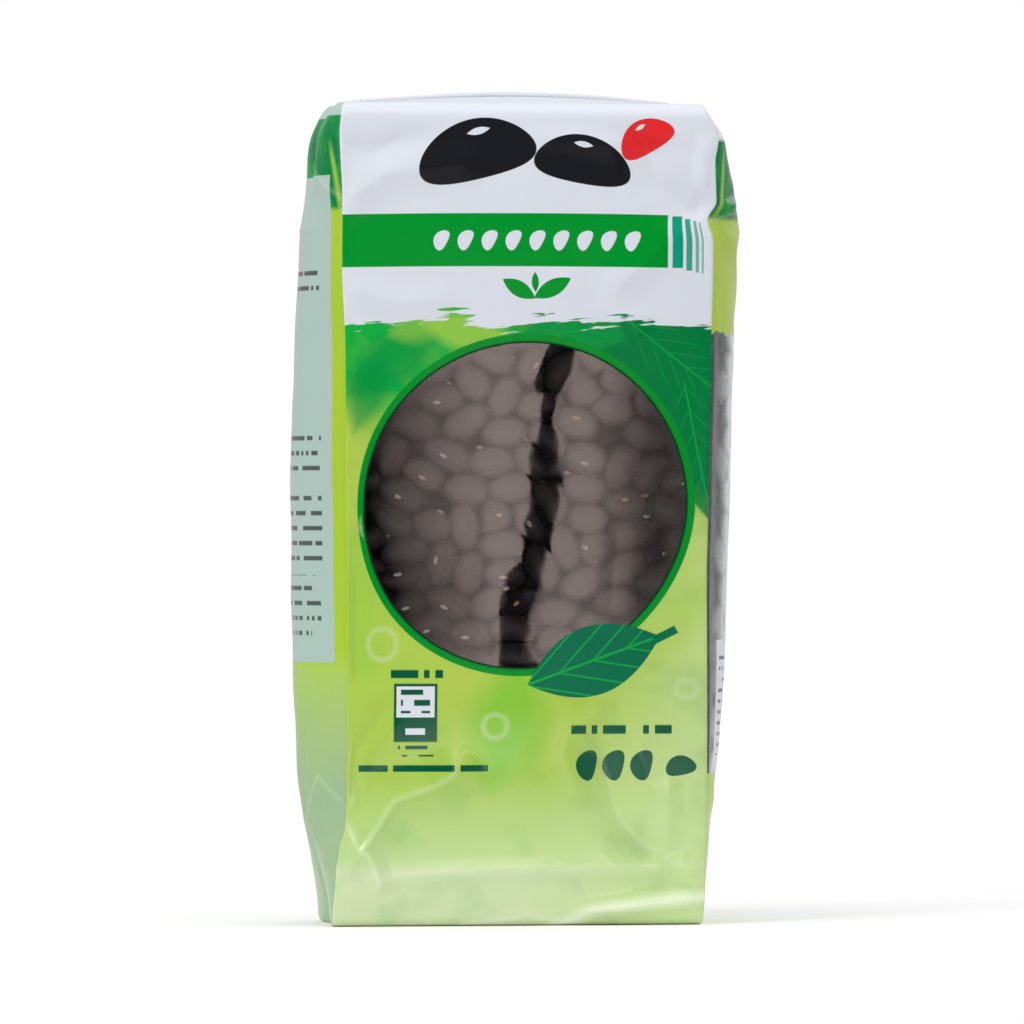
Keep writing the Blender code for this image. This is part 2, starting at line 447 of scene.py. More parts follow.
# The back panel, in millimetres from its middle to the right of a viewer behind it, and from the foot
backPanel = {
    "slack": [(0.18, 13, 8), (0.06, 6, 9)],
    # the whitening along these folds is worn film with a painted highlight that shows the folds
    "folds": [
        fold([(-40, 38), (-30, 33), (-18, 37), (-8, 33)], 1.0, 6.0, 0.35, 1.0),
        fold([(-38, 24), (-28, 19), (-24, 8)], 1.1, 4.0, 0.4, 1.0),
        fold([(-30, 33), (-28, 19)], 0.6, 3.0, 0.25, 0.7),
        fold([(40, 30), (28, 26), (20, 16), (22, 6)], -1.3, 6.0, 0.3, 0.9),
        fold([(40, 46), (30, 40), (28, 26)], 0.8, 5.0, 0.3, 0.8),
        fold([(-41, 9), (-20, 11), (-7, 10)], 0.7, 3.0, 0.5, 1.4),
        fold([(8, 9), (24, 11), (41, 8)], 0.7, 3.0, 0.45, 1.3),
        fold([(-41, 150), (-32, 158), (-22, 160), (-10, 170)], -1.2, 6.0),
        fold([(41, 148), (33, 156), (20, 158), (9, 152)], 1.1, 6.0),
        fold([(36, 176), (28, 168), (12, 166)], 0.8, 5.0),
        fold([(-34, 128), (-20, 122), (-9, 126)], 0.6, 6.0, 0.2, 0.8),
        fold([(9, 104), (22, 109), (36, 102), (41, 106)], 0.6, 7.0, 0.15, 0.8),
        fold([(-41, 74), (-36, 70), (-24, 64), (-10, 70)], -0.7, 7.0, 0.18, 0.8),
        fold([(9, 60), (20, 54), (40, 58)], 0.6, 6.0, 0.15, 0.8),
        fold([(-7.5, 12), (-7.5, 168)], -0.3, 2.2),
        fold([(7.5, 12), (7.5, 168)], -0.3, 2.2),
    ],
}


def backPlace(shareX, shareY):
    across = -crowd(shareX)
    v = upFilm(shareY)
    points, openness = panelPoints(1, 1, across, v)
    u = -across * bag["creaseHalf"]
    rise = reliefOf(points, u / mm, v / mm, backPanel["slack"], backPanel["folds"])
    points[:, 1] += rise * mm * openness
    return points, flatCoords(u, v, film["middle"]), wearAndHighlightOf(u / mm, v / mm, backPanel["folds"])


def endPlace(top):
    # the flat foot or the crowned top
    def place(shareX, shareY):
        across = crowd(shareX)
        deep = crowd(shareY) if top else -crowd(shareY)
        z = np.full_like(across, bag["height"] if top else 0.0)
        inset = np.full_like(across, bag["topRadius"] if top else bag["footRadius"])
        x, y = bagSection(across, deep, z, inset)
        back, inwards = foldRound((1.0 - abs(across)) * bag["creaseHalf"])
        backSide, inwardsSide = foldRound((1.0 - abs(deep)) * bag["foldDepth"])
        atSide = abs(across) > 0.999
        atFront = abs(deep) > 0.999
        x = x + np.sign(across) * back * atFront - np.sign(across) * inwardsSide * atSide
        y = y + np.sign(deep) * backSide * atSide - np.sign(deep) * inwards * atFront
        if top:
            z = z + bag["topCrown"] * (1.0 - across**2) * (1.0 - deep**2)
        return np.stack([x, y, z], axis=1), flatCoords(x, y, 0.5), np.zeros_like(x)
    return place


class Shade:
    # one socket of a material's node tree; sums and products of it add Math nodes
    def __init__(self, tree, socket=None):
        self.tree = tree
        self.socket = socket

    def node(self, kind, settings=None, inputs=None, output=0):
        made = self.tree.nodes.new(kind)
        for name, value in (settings or {}).items():
            if name == "stops":
                ramp = made.color_ramp
                while len(ramp.elements) > 1:
                    ramp.elements.remove(ramp.elements[-1])
                ramp.elements[0].position, ramp.elements[0].color = value[0]
                for place, colour in value[1:]:
                    ramp.elements.new(place).color = colour
            else:
                setattr(made, name, value)
        for name, value in (inputs or {}).items():
            if isinstance(value, Shade):
                self.tree.links.new(value.socket, made.inputs[name])
            elif value is not None:
                made.inputs[name].default_value = value
        return Shade(self.tree, made.outputs[output])

    def math(self, operation, other=None, third=None, clamp=False):
        inputs = {0: self, 1: other, 2: third}
        return self.node("ShaderNodeMath", {"operation": operation, "use_clamp": clamp}, inputs)

    def __add__(self, other):
        return self.math("ADD", other)

    def __radd__(self, other):
        return self.math("ADD", other)

    def __sub__(self, other):
        return self.math("SUBTRACT", other)

    def __rsub__(self, other):
        return self.node("ShaderNodeMath", {"operation": "SUBTRACT"}, {0: other, 1: self})

    def __mul__(self, other):
        return self.math("MULTIPLY", other)

    def __rmul__(self, other):
        return self.math("MULTIPLY", other)

    def __abs__(self):
        return self.math("ABSOLUTE")

    def least(self, other):
        return self.math("MINIMUM", other)

    def most(self, other):
        return self.math("MAXIMUM", other)

    def edge(self, soft):
        # 0 below zero and 1 above it, with an edge of the given width
        return self.math("MULTIPLY_ADD", 1.0 / soft, 0.5, clamp=True)

    def ramp(self, gain=1.0):
        # rises from 0 at zero and is held at 1
        return self.math("MULTIPLY", gain, clamp=True)


def colourOf(red, green, blue):
    # a screen colour of 0 to 255 as the linear colour that a shader takes
    parts = [part / 255 for part in (red, green, blue)]
    return (*(part / 12.92 if part < 0.04 else ((part + 0.055) / 1.055) ** 2.4 for part in parts), 1.0)


inkTones = {
    "white": (217, 222, 231), "band": (0, 146, 46), "tealA": (4, 156, 122), "tealB": (57, 159, 134),
    "tealC": (111, 172, 159), "leafDark": (0, 122, 62), "leaf": (0, 146, 64), "leafLight": (20, 172, 66),
    "lime": (176, 202, 82), "limeSoft": (168, 201, 86), "limeGreen": (154, 202, 74),
    "limeBright": (164, 196, 52), "grass": (118, 194, 50), "pale": (190, 216, 147), "hem": (202, 218, 172),
    "ring": (4, 140, 44), "ringShade": (4, 56, 30), "badge": (8, 108, 74), "text": (4, 86, 58),
    "black": (28, 29, 34), "red": (226, 44, 48), "sage": (168, 191, 183), "sageDeep": (152, 180, 138),
    # the last ink is painted along the folds: worn film with a painted highlight
    "grey": (74, 84, 82), "foldWearAndHighlight": (238, 246, 220),
}
ink = {name: colourOf(*tone) for name, tone in inkTones.items()}


def paint(under, colour, mask):
    # lays a colour over what is already printed, where the mask is 1; an ink goes by its name
    under, colour = (ink[part] if isinstance(part, str) else part for part in (under, colour))
    settings = {"data_type": "RGBA", "clamp_factor": True}
    return mask.node("ShaderNodeMix", settings, {0: mask, 6: under, 7: colour}, output=2)


def inkFade(value, *stops):
    # a colour that changes with a value of 0 to 1, through inks at their places
    stops = [(place, ink[name]) for place, name in stops]
    return value.node("ShaderNodeValToRGB", {"stops": stops}, {0: value})


def feed(surface, name, value):
    value.tree.links.new(value.socket, surface.inputs[name])


def dimple(surface, height, strength, distance):
    inputs = {"Strength": strength, "Distance": distance, "Height": height}
    feed(surface, "Normal", height.node("ShaderNodeBump", None, inputs))


def newMaterial(name):
    material = bpy.data.materials.new(name)
    material.use_nodes = True
    return material, Shade(material.node_tree), material.node_tree.nodes["Principled BSDF"]


def parted(place):
    # the three numbers of a place
    made = place.node("ShaderNodeSeparateXYZ", None, {0: place}).socket.node
    return [Shade(place.tree, output) for output in made.outputs]


def flatPlace(u, v):
    return u.node("ShaderNodeCombineXYZ", None, {0: u, 1: v})


def objectPlace(start):
    return start.node("ShaderNodeTexCoord", None, None, output=3)


def attributeOf(start, name):
    return start.node("ShaderNodeAttribute", {"attribute_name": name}, None, output=2)


def filmCoords(start):
    # the film's own coordinates in millimetres, from the piece's UV map
    across, upward = parted(start.node("ShaderNodeUVMap", {"uv_map": "film"}))[:2]
    return across * (film["scale"] / mm), upward * (film["scale"] / mm)


def cloudy(place, scale, detail=2.0, rough=0.5):
    inputs = {"Vector": place, "Scale": scale, "Detail": detail, "Roughness": rough}
    return place.node("ShaderNodeTexNoise", None, inputs)


def wavyLine(value, scale, detail):
    inputs = {"W": value, "Scale": scale, "Detail": detail}
    return value.node("ShaderNodeTexNoise", {"noise_dimensions": "1D"}, inputs)


def awayFrom(place, u, v):
    return place.node("ShaderNodeVectorMath", {"operation": "DISTANCE"}, {0: place, 1: (u, v, 0.0)}, output=1)


def between(value, low, high, soft=0.1):
    return (value - low).least(high - value).edge(soft)


def oblong(u, v, middle, halfSize, soft=0.1):
    across = halfSize[0] - abs(u - middle[0])
    return across.least(halfSize[1] - abs(v - middle[1])).edge(soft)


def mark(at, turn, long, wide, **more):
    # a printed shape: its middle, its turn in degrees, half its length and half its width
    return {"at": at, "turn": turn, "long": long, "wide": wide, "soft": 0.1, **more}


def turned(u, v, spot):
    # the run along a printed shape and the way to its side
    turn = math.radians(spot["turn"])
    du, dv = u - spot["at"][0], v - spot["at"][1]
    return du * math.cos(turn) + dv * math.sin(turn), dv * math.cos(turn) - du * math.sin(turn)


def leafShape(u, v, leaf):
    # a pointed oval; also the run along it and across it, for its veins
    run, side = turned(u, v, leaf)
    share = run * (1.0 / leaf["long"])
    return (leaf["wide"] - share * share * leaf["wide"] - abs(side)).edge(leaf["soft"]), run, side


def beanShape(u, v, bean):
    # a kidney: an oval bent a little
    run, side = turned(u, v, bean)
    share = run * (1.0 / bean["long"])
    bent = (side + share * share * (bean["wide"] * 0.35) - bean["wide"] * 0.12) * (1.0 / bean["wide"])
    return ((1.0 - (share * share + bent * bent)) * bean["wide"]).edge(bean["soft"] * 2)


def veinLines(run, side, slope, pitch, half, soft):
    # veins that leave the rib of a leaf on both sides
    return (half - abs((abs(side) - run * slope).math("PINGPONG", pitch))).edge(soft)


def barRows(u, v, middle, halfSize, pitch, weight):
    # rows of short plain bars
    row = (v * (1.0 / pitch)).math("FLOOR")
    within = (v * (1.0 / pitch)).math("FRACT")
    word = (u * 0.8 + row * 0.37).math("FLOOR")
    chance = u.node("ShaderNodeTexWhiteNoise", {"noise_dimensions": "2D"}, {"Vector": flatPlace(word, row)})
    inRow = (weight * 0.5 - abs(within - 0.5)).edge(0.08)
    return inRow * (chance - 0.24).edge(0.001) * oblong(u, v, middle, halfSize)


# The film's own skin over the print; roughness and gloss differ a little between the panels
skin = {
    "front": (0.22, 0.07),
    "left": (0.24, 0.14),
    "right": (0.22, 0.14),
    "back": (0.26, 0.3),
    "ends": (0.24, 0.3),
    "ior": 1.5,
    "fineScale": 420.0,
    "fineDepth": 0.3 * mm,
    "fineStrength": 0.1,
    "broadScale": 90.0,
    "roughnessRange": 0.1,
    "coatRoughness": 0.08,
    "coatTop": 48.0,  # height in millimetres below which the front's foot is glossier
}


def finishFilm(surface, colour, panel, coat=None):
    # fine slack in the film, and a roughness that varies a little
    roughness, gloss = skin[panel]
    place = objectPlace(colour)
    feed(surface, "Base Color", colour)
    dimple(surface, cloudy(place, skin["fineScale"], 3.0, 0.55), skin["fineStrength"], skin["fineDepth"])
    span = skin["roughnessRange"]
    feed(surface, "Roughness", cloudy(place, skin["broadScale"]) * span + (roughness - span / 2))
    surface.inputs["IOR"].default_value = skin["ior"]
    surface.inputs["Specular IOR Level"].default_value = gloss
    if coat:
        feed(surface, "Coat Weight", coat)
        surface.inputs["Coat Roughness"].default_value = skin["coatRoughness"]


def foldWearAndHighlight(colour):
    # the print painted whiter along the folds: worn film with a painted highlight on each fold
    return paint(colour, "foldWearAndHighlight", attributeOf(colour, "crease"))


# What is printed on the front, in millimetres of film from the middle of the panel and from the foot
frontArt = {
    "leaves": [
        mark((-30, 124), 35, 13, 5.5, soft=4.0, ink="leaf", strength=0.7),
        mark((-35, 117), 70, 9, 3.6, soft=3.0, ink="leaf", strength=0.7),
        mark((-13, 130), -14, 11, 4.0, soft=3.0, ink="limeGreen", strength=0.8),
        mark((-24, 132), 20, 7, 3.5, soft=3.0, ink="limeGreen", strength=0.5),
        mark((13, 131), 10, 17, 4.8, soft=0.8, ink="leaf", strength=0.9, veins=0.4),
        mark((31, 126), -38, 16, 5.6, soft=0.6, ink="leafDark", strength=0.9, veins=0.6),
        mark((38, 104), -78, 16, 4.8, soft=0.6, ink="leafDark", strength=0.9, veins=0.6),
        mark((-37, 68), 98, 18, 5.5, soft=5.0, ink="limeGreen", strength=0.6),
        mark((34, 66), 60, 12, 4.0, soft=4.0, ink="limeSoft", strength=0.5),
        mark((-2, 45), 75, 15, 7.5, soft=8.0, ink="grass", strength=0.75),
    ],
    "band": ((-5.1, 150.4), (35.9, 5.8)),
    "bars": [(32.95, 1.15, "tealA"), (35.4, 0.62, "tealB"), (37.08, 0.34, "tealC"), (38.2, 0.18, "tealC")],
    "barEnds": (144.6, 156.0),
    "dots": {"pitch": 5.3, "start": -22.0, "ends": (-21.8, 25.3), "shape": mark((0.0, 150.4), 62, 2.35, 1.5)},
    "beans": [
        (mark((-11, 169.5), 14, 13.0, 6.6), "black", (-10.5, 174.2)),
        (mark((12, 167.5), -10, 10.5, 5.4), "black", (12.3, 171.4)),
        (mark((26, 173.0), 32, 6.6, 3.5), "red", (25.2, 175.4)),
    ],
    "sprig": [
        mark((-2.2, 139.7), 150, 4.2, 1.7),
        mark((5.2, 139.9), 28, 4.6, 1.8),
        mark((1.4, 141.2), 92, 2.2, 0.8),
    ],
    "badge": mark((16.6, 58.4), 20, 15.5, 7.6),
    "stem": mark((32.2, 64.0), 28, 2.6, 0.9),
    "tag": ((-22.7, 47.0), (4.9, 6.4), 0.3),
    "tagFaces": [((-22.7, 49.4), (4.3, 3.4)), ((-22.7, 42.9), (2.2, 0.7))],
    "rows": [  # middle, half size, pitch and weight
        ((-22.7, 49.5), (3.3, 2.6), 2.4, 0.55),
        ((-22.6, 56.0), (6.0, 1.5), 3.0, 0.6),
        ((-22.6, 38.6), (4.0, 1.2), 2.4, 0.5),
        ((-22.0, 34.4), (15.5, 1.2), 2.4, 0.6),
        ((22.8, 43.4), (10.9, 1.6), 3.2, 0.6),
    ],
    "pills": [
        mark((15.6, 35.4), 78, 3.4, 2.3),
        mark((21.6, 35.4), 78, 3.4, 2.3),
        mark((27.6, 35.4), 78, 3.4, 2.3),
        mark((35.4, 35.0), 12, 3.0, 2.2),
    ],
    "discs": [(-34.0, 88.0, 2.4), (-30.5, 62.0, 3.4), (-5.0, 44.0, 2.6), (36.5, 52.0, 2.0)],  # u, v, radius
}


field = {
    "stops": [(0.0, "hem"), (0.2, "hem"), (0.24, "pale"), (0.55, "limeSoft"), (1.0, "lime")],
    "limeHeight": 60.0,
    "cloudScale": 0.045,
    "cloudRange": (34, 88, 20),  # foot, top and softness
    "cloudShare": 0.5,
    # the lower right is painted paler, in part as the sheen of the facets at the foot
    "paleSheenLean": -0.35,  # the lower right is paler, past a leaning line
    "paleSheenShare": 0.85,
    "greenLean": 0.22,
    "greenFrom": 97.0,
    "darkFrom": 99.0,
    "driftScale": 0.085,
    "driftShare": 0.9,
    "veins": {"slope": 0.6, "pitch": 1.5, "half": 0.16, "soft": 0.25},
    "badgeVeins": {"slope": 0.55, "pitch": 2.2, "half": 0.2, "soft": 0.12},
}


def fieldPrint(u, v, place):
    # lime that fades to a pale hem, and foliage greens above it, darker to the right; the hem and the paler
    # lower right are in part painted sheen of the facets at the foot
    colour = inkFade(v * (1 / field["limeHeight"]), *field["stops"])
    cloud = (cloudy(place, field["cloudScale"], 1.5) - 0.5).ramp(5.0) * between(v, *field["cloudRange"])
    colour = paint(colour, "limeGreen", cloud * field["cloudShare"])
    # painted sheen in part: the lower right paler past a leaning line
    paleSheenLowerRight = (u + (v - 20.0) * field["paleSheenLean"] - 4.0).ramp(0.04)
    colour = paint(colour, "pale", paleSheenLowerRight * field["paleSheenShare"])
    slant = v + u * field["greenLean"]
    right = (u + v * 0.1 - 5.0).ramp(0.06)
    drift = (cloudy(place, field["driftScale"]) - 0.5) * field["driftShare"]
    green = ((slant - field["greenFrom"]).ramp(0.07) + drift).ramp()
    green = green.most(right * (slant - field["darkFrom"]).ramp(0.15))
    colour = paint(colour, paint("leafLight", "leafDark", right), green)
    for leaf in frontArt["leaves"]:
        mask, run, side = leafShape(u, v, leaf)
        colour = paint(colour, leaf["ink"], mask * leaf["strength"])
        if "veins" in leaf:
            rib = (0.2 - abs(side)).edge(leaf["soft"] * 0.25)
            veins = rib.most(veinLines(run, side, **field["veins"]) * 0.6) * mask
            colour = paint(colour, "leafLight", veins * leaf["veins"])
    return colour


def ringPrint(colour, u, v, distance):
    # the ring around the window and the leaf over it; also where that leaf is
    badge, run, side = leafShape(u, v, frontArt["badge"])
    stemRun, stemSide = turned(u, v, frontArt["stem"])
    stem = (frontArt["stem"]["long"] - abs(stemRun)).least(frontArt["stem"]["wide"] - abs(stemSide))
    rib = (0.28 - abs(side)).edge(0.1)
    veins = rib.most(veinLines(run, side, **field["badgeVeins"])) * (badge - 0.5).edge(0.2)
    colour = paint(colour, "ring", (window["ring"] / mm - distance).edge(0.12))
    colour = paint(colour, "ringShade", (window["clear"] / mm + 0.45 - distance).edge(0.3))
    colour = paint(colour, "badge", badge)
    colour = paint(colour, "leafLight", veins * 0.75)
    return paint(colour, "badge", stem.edge(0.1)), badge


def fromWindow(place):
    return awayFrom(place, window["u"] / mm, window["v"] / mm)


# The brushed edge of the white top field
dryBrush = {
    "height": 132.2,
    "wave": 7.0,
    "stray": 10.0,
    "splashAt": -17.0,
    "splashFall": 0.13,
    "splashStray": 9.0,
    "splashDrop": 2.2,
}


def frontPrint(u, v):
    # the panel's swell arches the upper print a little
    fromMiddle = u * (mm / bag["creaseHalf"])
    v = v - (1.0 - fromMiddle * fromMiddle) * (v - 110.0).ramp(0.012) * 0.8
    place = flatPlace(u, v)
    colour = fieldPrint(u, v, place)
    # top field: white, brushed on with a dry brush
    bristles = cloudy(flatPlace(u * 0.055, v * 0.75 - u * 0.05), 1.0, 3.0, 0.6)
    splash = (1.0 - abs(u - dryBrush["splashAt"]) * dryBrush["splashFall"]).ramp()
    brush = v - dryBrush["height"] - (wavyLine(u, 0.07, 3.0) - 0.5) * dryBrush["wave"]
    stray = splash * dryBrush["splashStray"] + dryBrush["stray"]
    brush = brush + (bristles - 0.5) * stray - splash * dryBrush["splashDrop"]
    colour = paint(colour, "white", brush.edge(0.3))
    # band, slanted bars and a row of beans
    colour = paint(colour, "band", oblong(u, v, *frontArt["band"]))
    for middle, half, name in frontArt["bars"]:
        slanted = between(v + (middle - 32.9) * 0.22, *frontArt["barEnds"])
        colour = paint(colour, name, between(u, middle - half, middle + half) * slanted)
    dots = frontArt["dots"]
    cell = (((u - dots["start"]) * (1 / dots["pitch"])).math("FRACT") - 0.5) * dots["pitch"]
    colour = paint(colour, "white", beanShape(cell, v, dots["shape"]) * between(u, *dots["ends"]))
    # three beans on the top field and a sprig under the band
    for bean, name, eye in frontArt["beans"]:
        colour = paint(colour, name, beanShape(u, v, bean))
        eyeMark = mark(eye, bean["turn"], bean["long"] * 0.2, bean["wide"] * 0.12)
        colour = paint(colour, "white", leafShape(u, v, eyeMark)[0])
    for leaf in frontArt["sprig"]:
        colour = paint(colour, "band", leafShape(u, v, leaf)[0])
    colour = ringPrint(colour, u, v, fromWindow(place))[0]
    # small two-part tag, rows of bars, a row of dark beans and soft pale discs
    colour = paint(colour, "text", oblong(u, v, *frontArt["tag"]))
    for face in frontArt["tagFaces"]:
        colour = paint(colour, "white", oblong(u, v, *face))
    for row in frontArt["rows"]:
        colour = paint(colour, "text", barRows(u, v, *row))
    for pill in frontArt["pills"]:
        colour = paint(colour, "text", beanShape(u, v, pill))
    for discU, discV, radius in frontArt["discs"]:
        colour = paint(colour, "hem", (0.5 - abs(awayFrom(place, discU, discV) - radius)).edge(1.0) * 0.45)
    return colour


def printedFront():
    material, start, surface = newMaterial("printedFront")
    across, v = filmCoords(start)
    colour = foldWearAndHighlight(frontPrint(across - film["middle"][0] * film["scale"] / mm, v))
    finishFilm(surface, colour, "front", (skin["coatTop"] - v).ramp(0.1))
    return material


clearFilm = {
    "ior": 1.45,
    "surfaces": 2.4,
    "sideSurfaces": 3.0,
    "tint": (1.0, 0.93, 0.90, 1.0),
    "sideTint": (0.96, 0.98, 1.0, 1.0),
    "roughness": 0.035,
    "restDepth": 4.6 * mm,  # beans nearer to the film than this press into it
    "restReach": (1.32, 0.72),
    "ringFade": (0.3 * mm, 2.5 * mm),
    "endFade": 3 * mm,
    "valley": 0.002 * mm,
    "tilt": 0.0011,
    "sideValley": 0.09 * mm,
    "sideTilt": 0.008,
    "free": 0.5,  # how much of the mirrored light is left where the film hangs free between the beans
}


def clearInto(surface, mask, tint, surfaces):
    # where the mask is 1 the film has no print: it lets the beans show and only mirrors the lights
    gloss = {"Color": tint, "Roughness": clearFilm["roughness"]}
    mirror = mask.node("ShaderNodeBsdfAnisotropic", None, gloss)
    through = mask.node("ShaderNodeBsdfTransparent", None, {"Color": (0.99, 0.99, 0.99, 1.0)})
    shine = mask.node("ShaderNodeFresnel", None, {"IOR": clearFilm["ior"]}) * surfaces
    shine = shine * (attributeOf(mask, "rest") * (1.0 - clearFilm["free"]) + clearFilm["free"])
    clear = mask.node("ShaderNodeMixShader", None, {0: shine, 1: through, 2: mirror})
    printed = Shade(mask.tree, surface.outputs[0])
    mixed = mask.node("ShaderNodeMixShader", None, {0: mask, 1: printed, 2: clear})
    feed(mask.tree.nodes["Material Output"], "Surface", mixed)


def windowFilm():
    material, start, surface = newMaterial("windowFilm")
    across, v = filmCoords(start)
    u = across - film["middle"][0] * film["scale"] / mm
    distance = fromWindow(flatPlace(u, v))
    colour, badge = ringPrint("ring", u, v, distance)
    finishFilm(surface, colour, "front")
    clear = (window["clear"] / mm - distance).edge(0.08) * (1.0 - badge)
    clearInto(surface, clear, clearFilm["tint"], clearFilm["surfaces"])
    return material


# What is printed on the gussets, in millimetres of film from their front crease and from the foot
leftArt = {
    "fade": 60.0,
    "stops": [(0.0, "sageDeep"), (0.5, "sageDeep"), (1.0, "limeSoft")],
    "limeFrom": 58.0,
    "foliage": (157.5, 1.2),  # its lower edge and the softness of it
    "stroke": (0.4, 157, 171, 0.7),  # from the crease, foot, top, half width
    "panel": (3.6, 44.0, 58.0, 165.0),  # left, right, foot, top
    "rows": [((24, 142), (16, 3.9)), ((24, 104), (17, 5.2)), ((24, 88), (17, 7.8)), ((25, 72), (17, 5.2)),
             ((26, 64), (14, 1.3))],
    "pitch": 3.3,
    "weight": 0.3,
    "capFrom": 178.2,
}
rightArt = {
    "fade": 40.0,
    "stops": [(0.0, "hem"), (0.4, "pale"), (1.0, "limeSoft")],
    "limeFrom": 80.0,
    "sageFrom": 20.0,
    "foliage": (155.6, 1.0),
    "stroke": (1.5, 156, 170, 0.8),
    "panel": (5.0, 43.0, 34.5, 62.8),
    "rows": [((24, 49), (17, 11.7))],
    "pitch": 2.4,
    "weight": 0.32,
    "capFrom": 173.0,
    "wave": (0.14, 6.0),  # of the clear strip's upper end: waves in a millimetre, height
}


def gussetTop(colour, w, v, art):
    # dark foliage out of focus, with one pale stroke beside the crease
    foot, soft = art["foliage"]
    drift = (cloudy(flatPlace(w, v), 0.16, 3.0) - 0.48).ramp(3.0)
    colour = paint(colour, paint("leafDark", "leafLight", drift), (v - foot).edge(soft))
    start, low, high, half = art["stroke"]
    stroke = (half - abs(w - start - (v - low - 1.0) * 0.2)).edge(1.0) * between(v, low, high, 5)
    return paint(colour, "limeGreen", stroke * 0.8)


def framed(w, v, panel):
    left, right, low, high = panel
    return (w - left).least(right - w).least(high - v).least(v - low).edge(0.12)


def gussetRows(colour, w, v, art):
    for middle, halfSize in art["rows"]:
        colour = paint(colour, "grey", barRows(w, v, middle, halfSize, art["pitch"], art["weight"]))
    return colour


def leftPrint():
    material, start, surface = newMaterial("printedLeft")
    w, v = filmCoords(start)
    colour = inkFade(v * (1 / leftArt["fade"]), *leftArt["stops"])
    colour = paint(colour, "limeBright", (v - leftArt["limeFrom"]).edge(6.0))
    colour = gussetTop(colour, w, v, leftArt)
    colour = paint(colour, "sage", framed(w, v, leftArt["panel"]))
    colour = gussetRows(colour, w, v, leftArt)
    colour = paint(colour, "sage", (v - leftArt["capFrom"]).edge(0.3))
    finishFilm(surface, foldWearAndHighlight(colour), "left")
    return material


def rightPrint(clearZone):
    material, start, surface = newMaterial("clearSide" if clearZone else "printedRight")
    w, v = filmCoords(start)
    upper = (v - rightArt["limeFrom"]).edge(1.0)
    panel = framed(w, v, rightArt["panel"])
    colour = inkFade(v * (1 / rightArt["fade"]), *rightArt["stops"])
    colour = paint(colour, "lime", upper)
    colour = paint(colour, "sageDeep", (w - rightArt["sageFrom"]).edge(2.0) * upper)
    colour = gussetTop(colour, w, v, rightArt)
    colour = paint(colour, "white", (v - rightArt["capFrom"]).edge(0.6))
    colour = paint(colour, "white", panel)
    colour = gussetRows(colour, w, v, rightArt)
    finishFilm(surface, foldWearAndHighlight(colour), "right")
    if clearZone:
        pace, height = rightArt["wave"]
        high = sideStrip["high"] / mm + (wavyLine(w, pace, 1.0) - 0.5) * height
        clear = (high - v).least(v - sideStrip["low"] / mm).edge(0.12) * (1.0 - panel)
        clearInto(surface, clear, clearFilm["sideTint"], clearFilm["sideSurfaces"])
    return material


backArt = {
    "fade": 130.0,
    "stops": [(0.0, "hem"), (0.12, "pale"), (0.5, "limeSoft"), (0.8, "limeGreen"), (1.0, "leafLight")],
    "whiteFrom": 132.0,
    "band": (144.6, 156.2),
    "panelAt": (22.0, 80.0),  # two panels, left and right of the seam
    "panel": (14.0, 40.0),
    "rows": (12.0, 36.4),
    "pitch": 2.3,
    "weight": 0.34,
    "blocks": 0.062,  # blocks of rows in a millimetre of height
    "gap": 0.26,
}


def backPrint():
    material, start, surface = newMaterial("printedBack")
    place = parted(objectPlace(start))
    u, v = place[0] * (-1 / mm), place[2] * (1 / mm)
    colour = inkFade(v * (1 / backArt["fade"]), *backArt["stops"])
    colour = paint(colour, "white", (v - backArt["whiteFrom"]).edge(0.2))
    colour = paint(colour, "band", between(v, *backArt["band"]))
    for side in (-1, 1):
        middle = (side * backArt["panelAt"][0], backArt["panelAt"][1])
        colour = paint(colour, "sage", oblong(u, v, middle, backArt["panel"]))
        rows = barRows(u, v, middle, backArt["rows"], backArt["pitch"], backArt["weight"])
        gaps = ((v * backArt["blocks"]).math("FRACT") - backArt["gap"]).edge(0.05)
        colour = paint(colour, "grey", rows * gaps)
    finishFilm(surface, foldWearAndHighlight(colour), "back")
    return material


def plainFilm(name, inkName):
    material, start, surface = newMaterial(name)
    shaded = (*(part * 0.9 for part in ink[inkName][:3]), 1.0)
    drift = (cloudy(objectPlace(start), 60.0) - 0.35).ramp(2.0)
    finishFilm(surface, paint(inkName, shaded, drift), "ends")
    return material


def beanCoat():
    material, start, surface = newMaterial("beanCoat")
    mottle = cloudy(objectPlace(start), 260.0, 3.0)
    colour = paint(colourOf(46, 44, 48), colourOf(74, 62, 58), attributeOf(start, "tone"))
    feed(surface, "Base Color", paint(colour, colourOf(28, 27, 31), (mottle - 0.45).ramp(1.6)))
    dimple(surface, mottle, 0.04, 0.2 * mm)
    feed(surface, "Roughness", mottle * 0.2 + 0.42)
    return material


def hilumSkin():
    material, start, surface = newMaterial("hilumSkin")
    warm = paint(colourOf(255, 250, 240), colourOf(255, 186, 146), attributeOf(start, "tone"))
    feed(surface, "Base Color", warm)
    feed(surface, "Roughness", cloudy(objectPlace(start), 900.0) * 0.3 + 0.4)
    return material


def coreDarkShade():
    material, start, surface = newMaterial("coreDarkShade")
    lumpsAndShade = start.node("ShaderNodeTexVoronoi", None, {"Vector": objectPlace(start), "Scale": 130.0})
    # painted shade: darker than the beans, and darkest between the lumps
    feed(surface, "Base Color", paint(colourOf(26, 25, 28), colourOf(10, 10, 12), (lumpsAndShade * 1.2).ramp()))
    surface.inputs["Roughness"].default_value = 0.8
    return material


print("laying the film")
frontShape = layFilm(film["columns"], film["rows"], frontPlace)
windowShape = frontShape.copy()


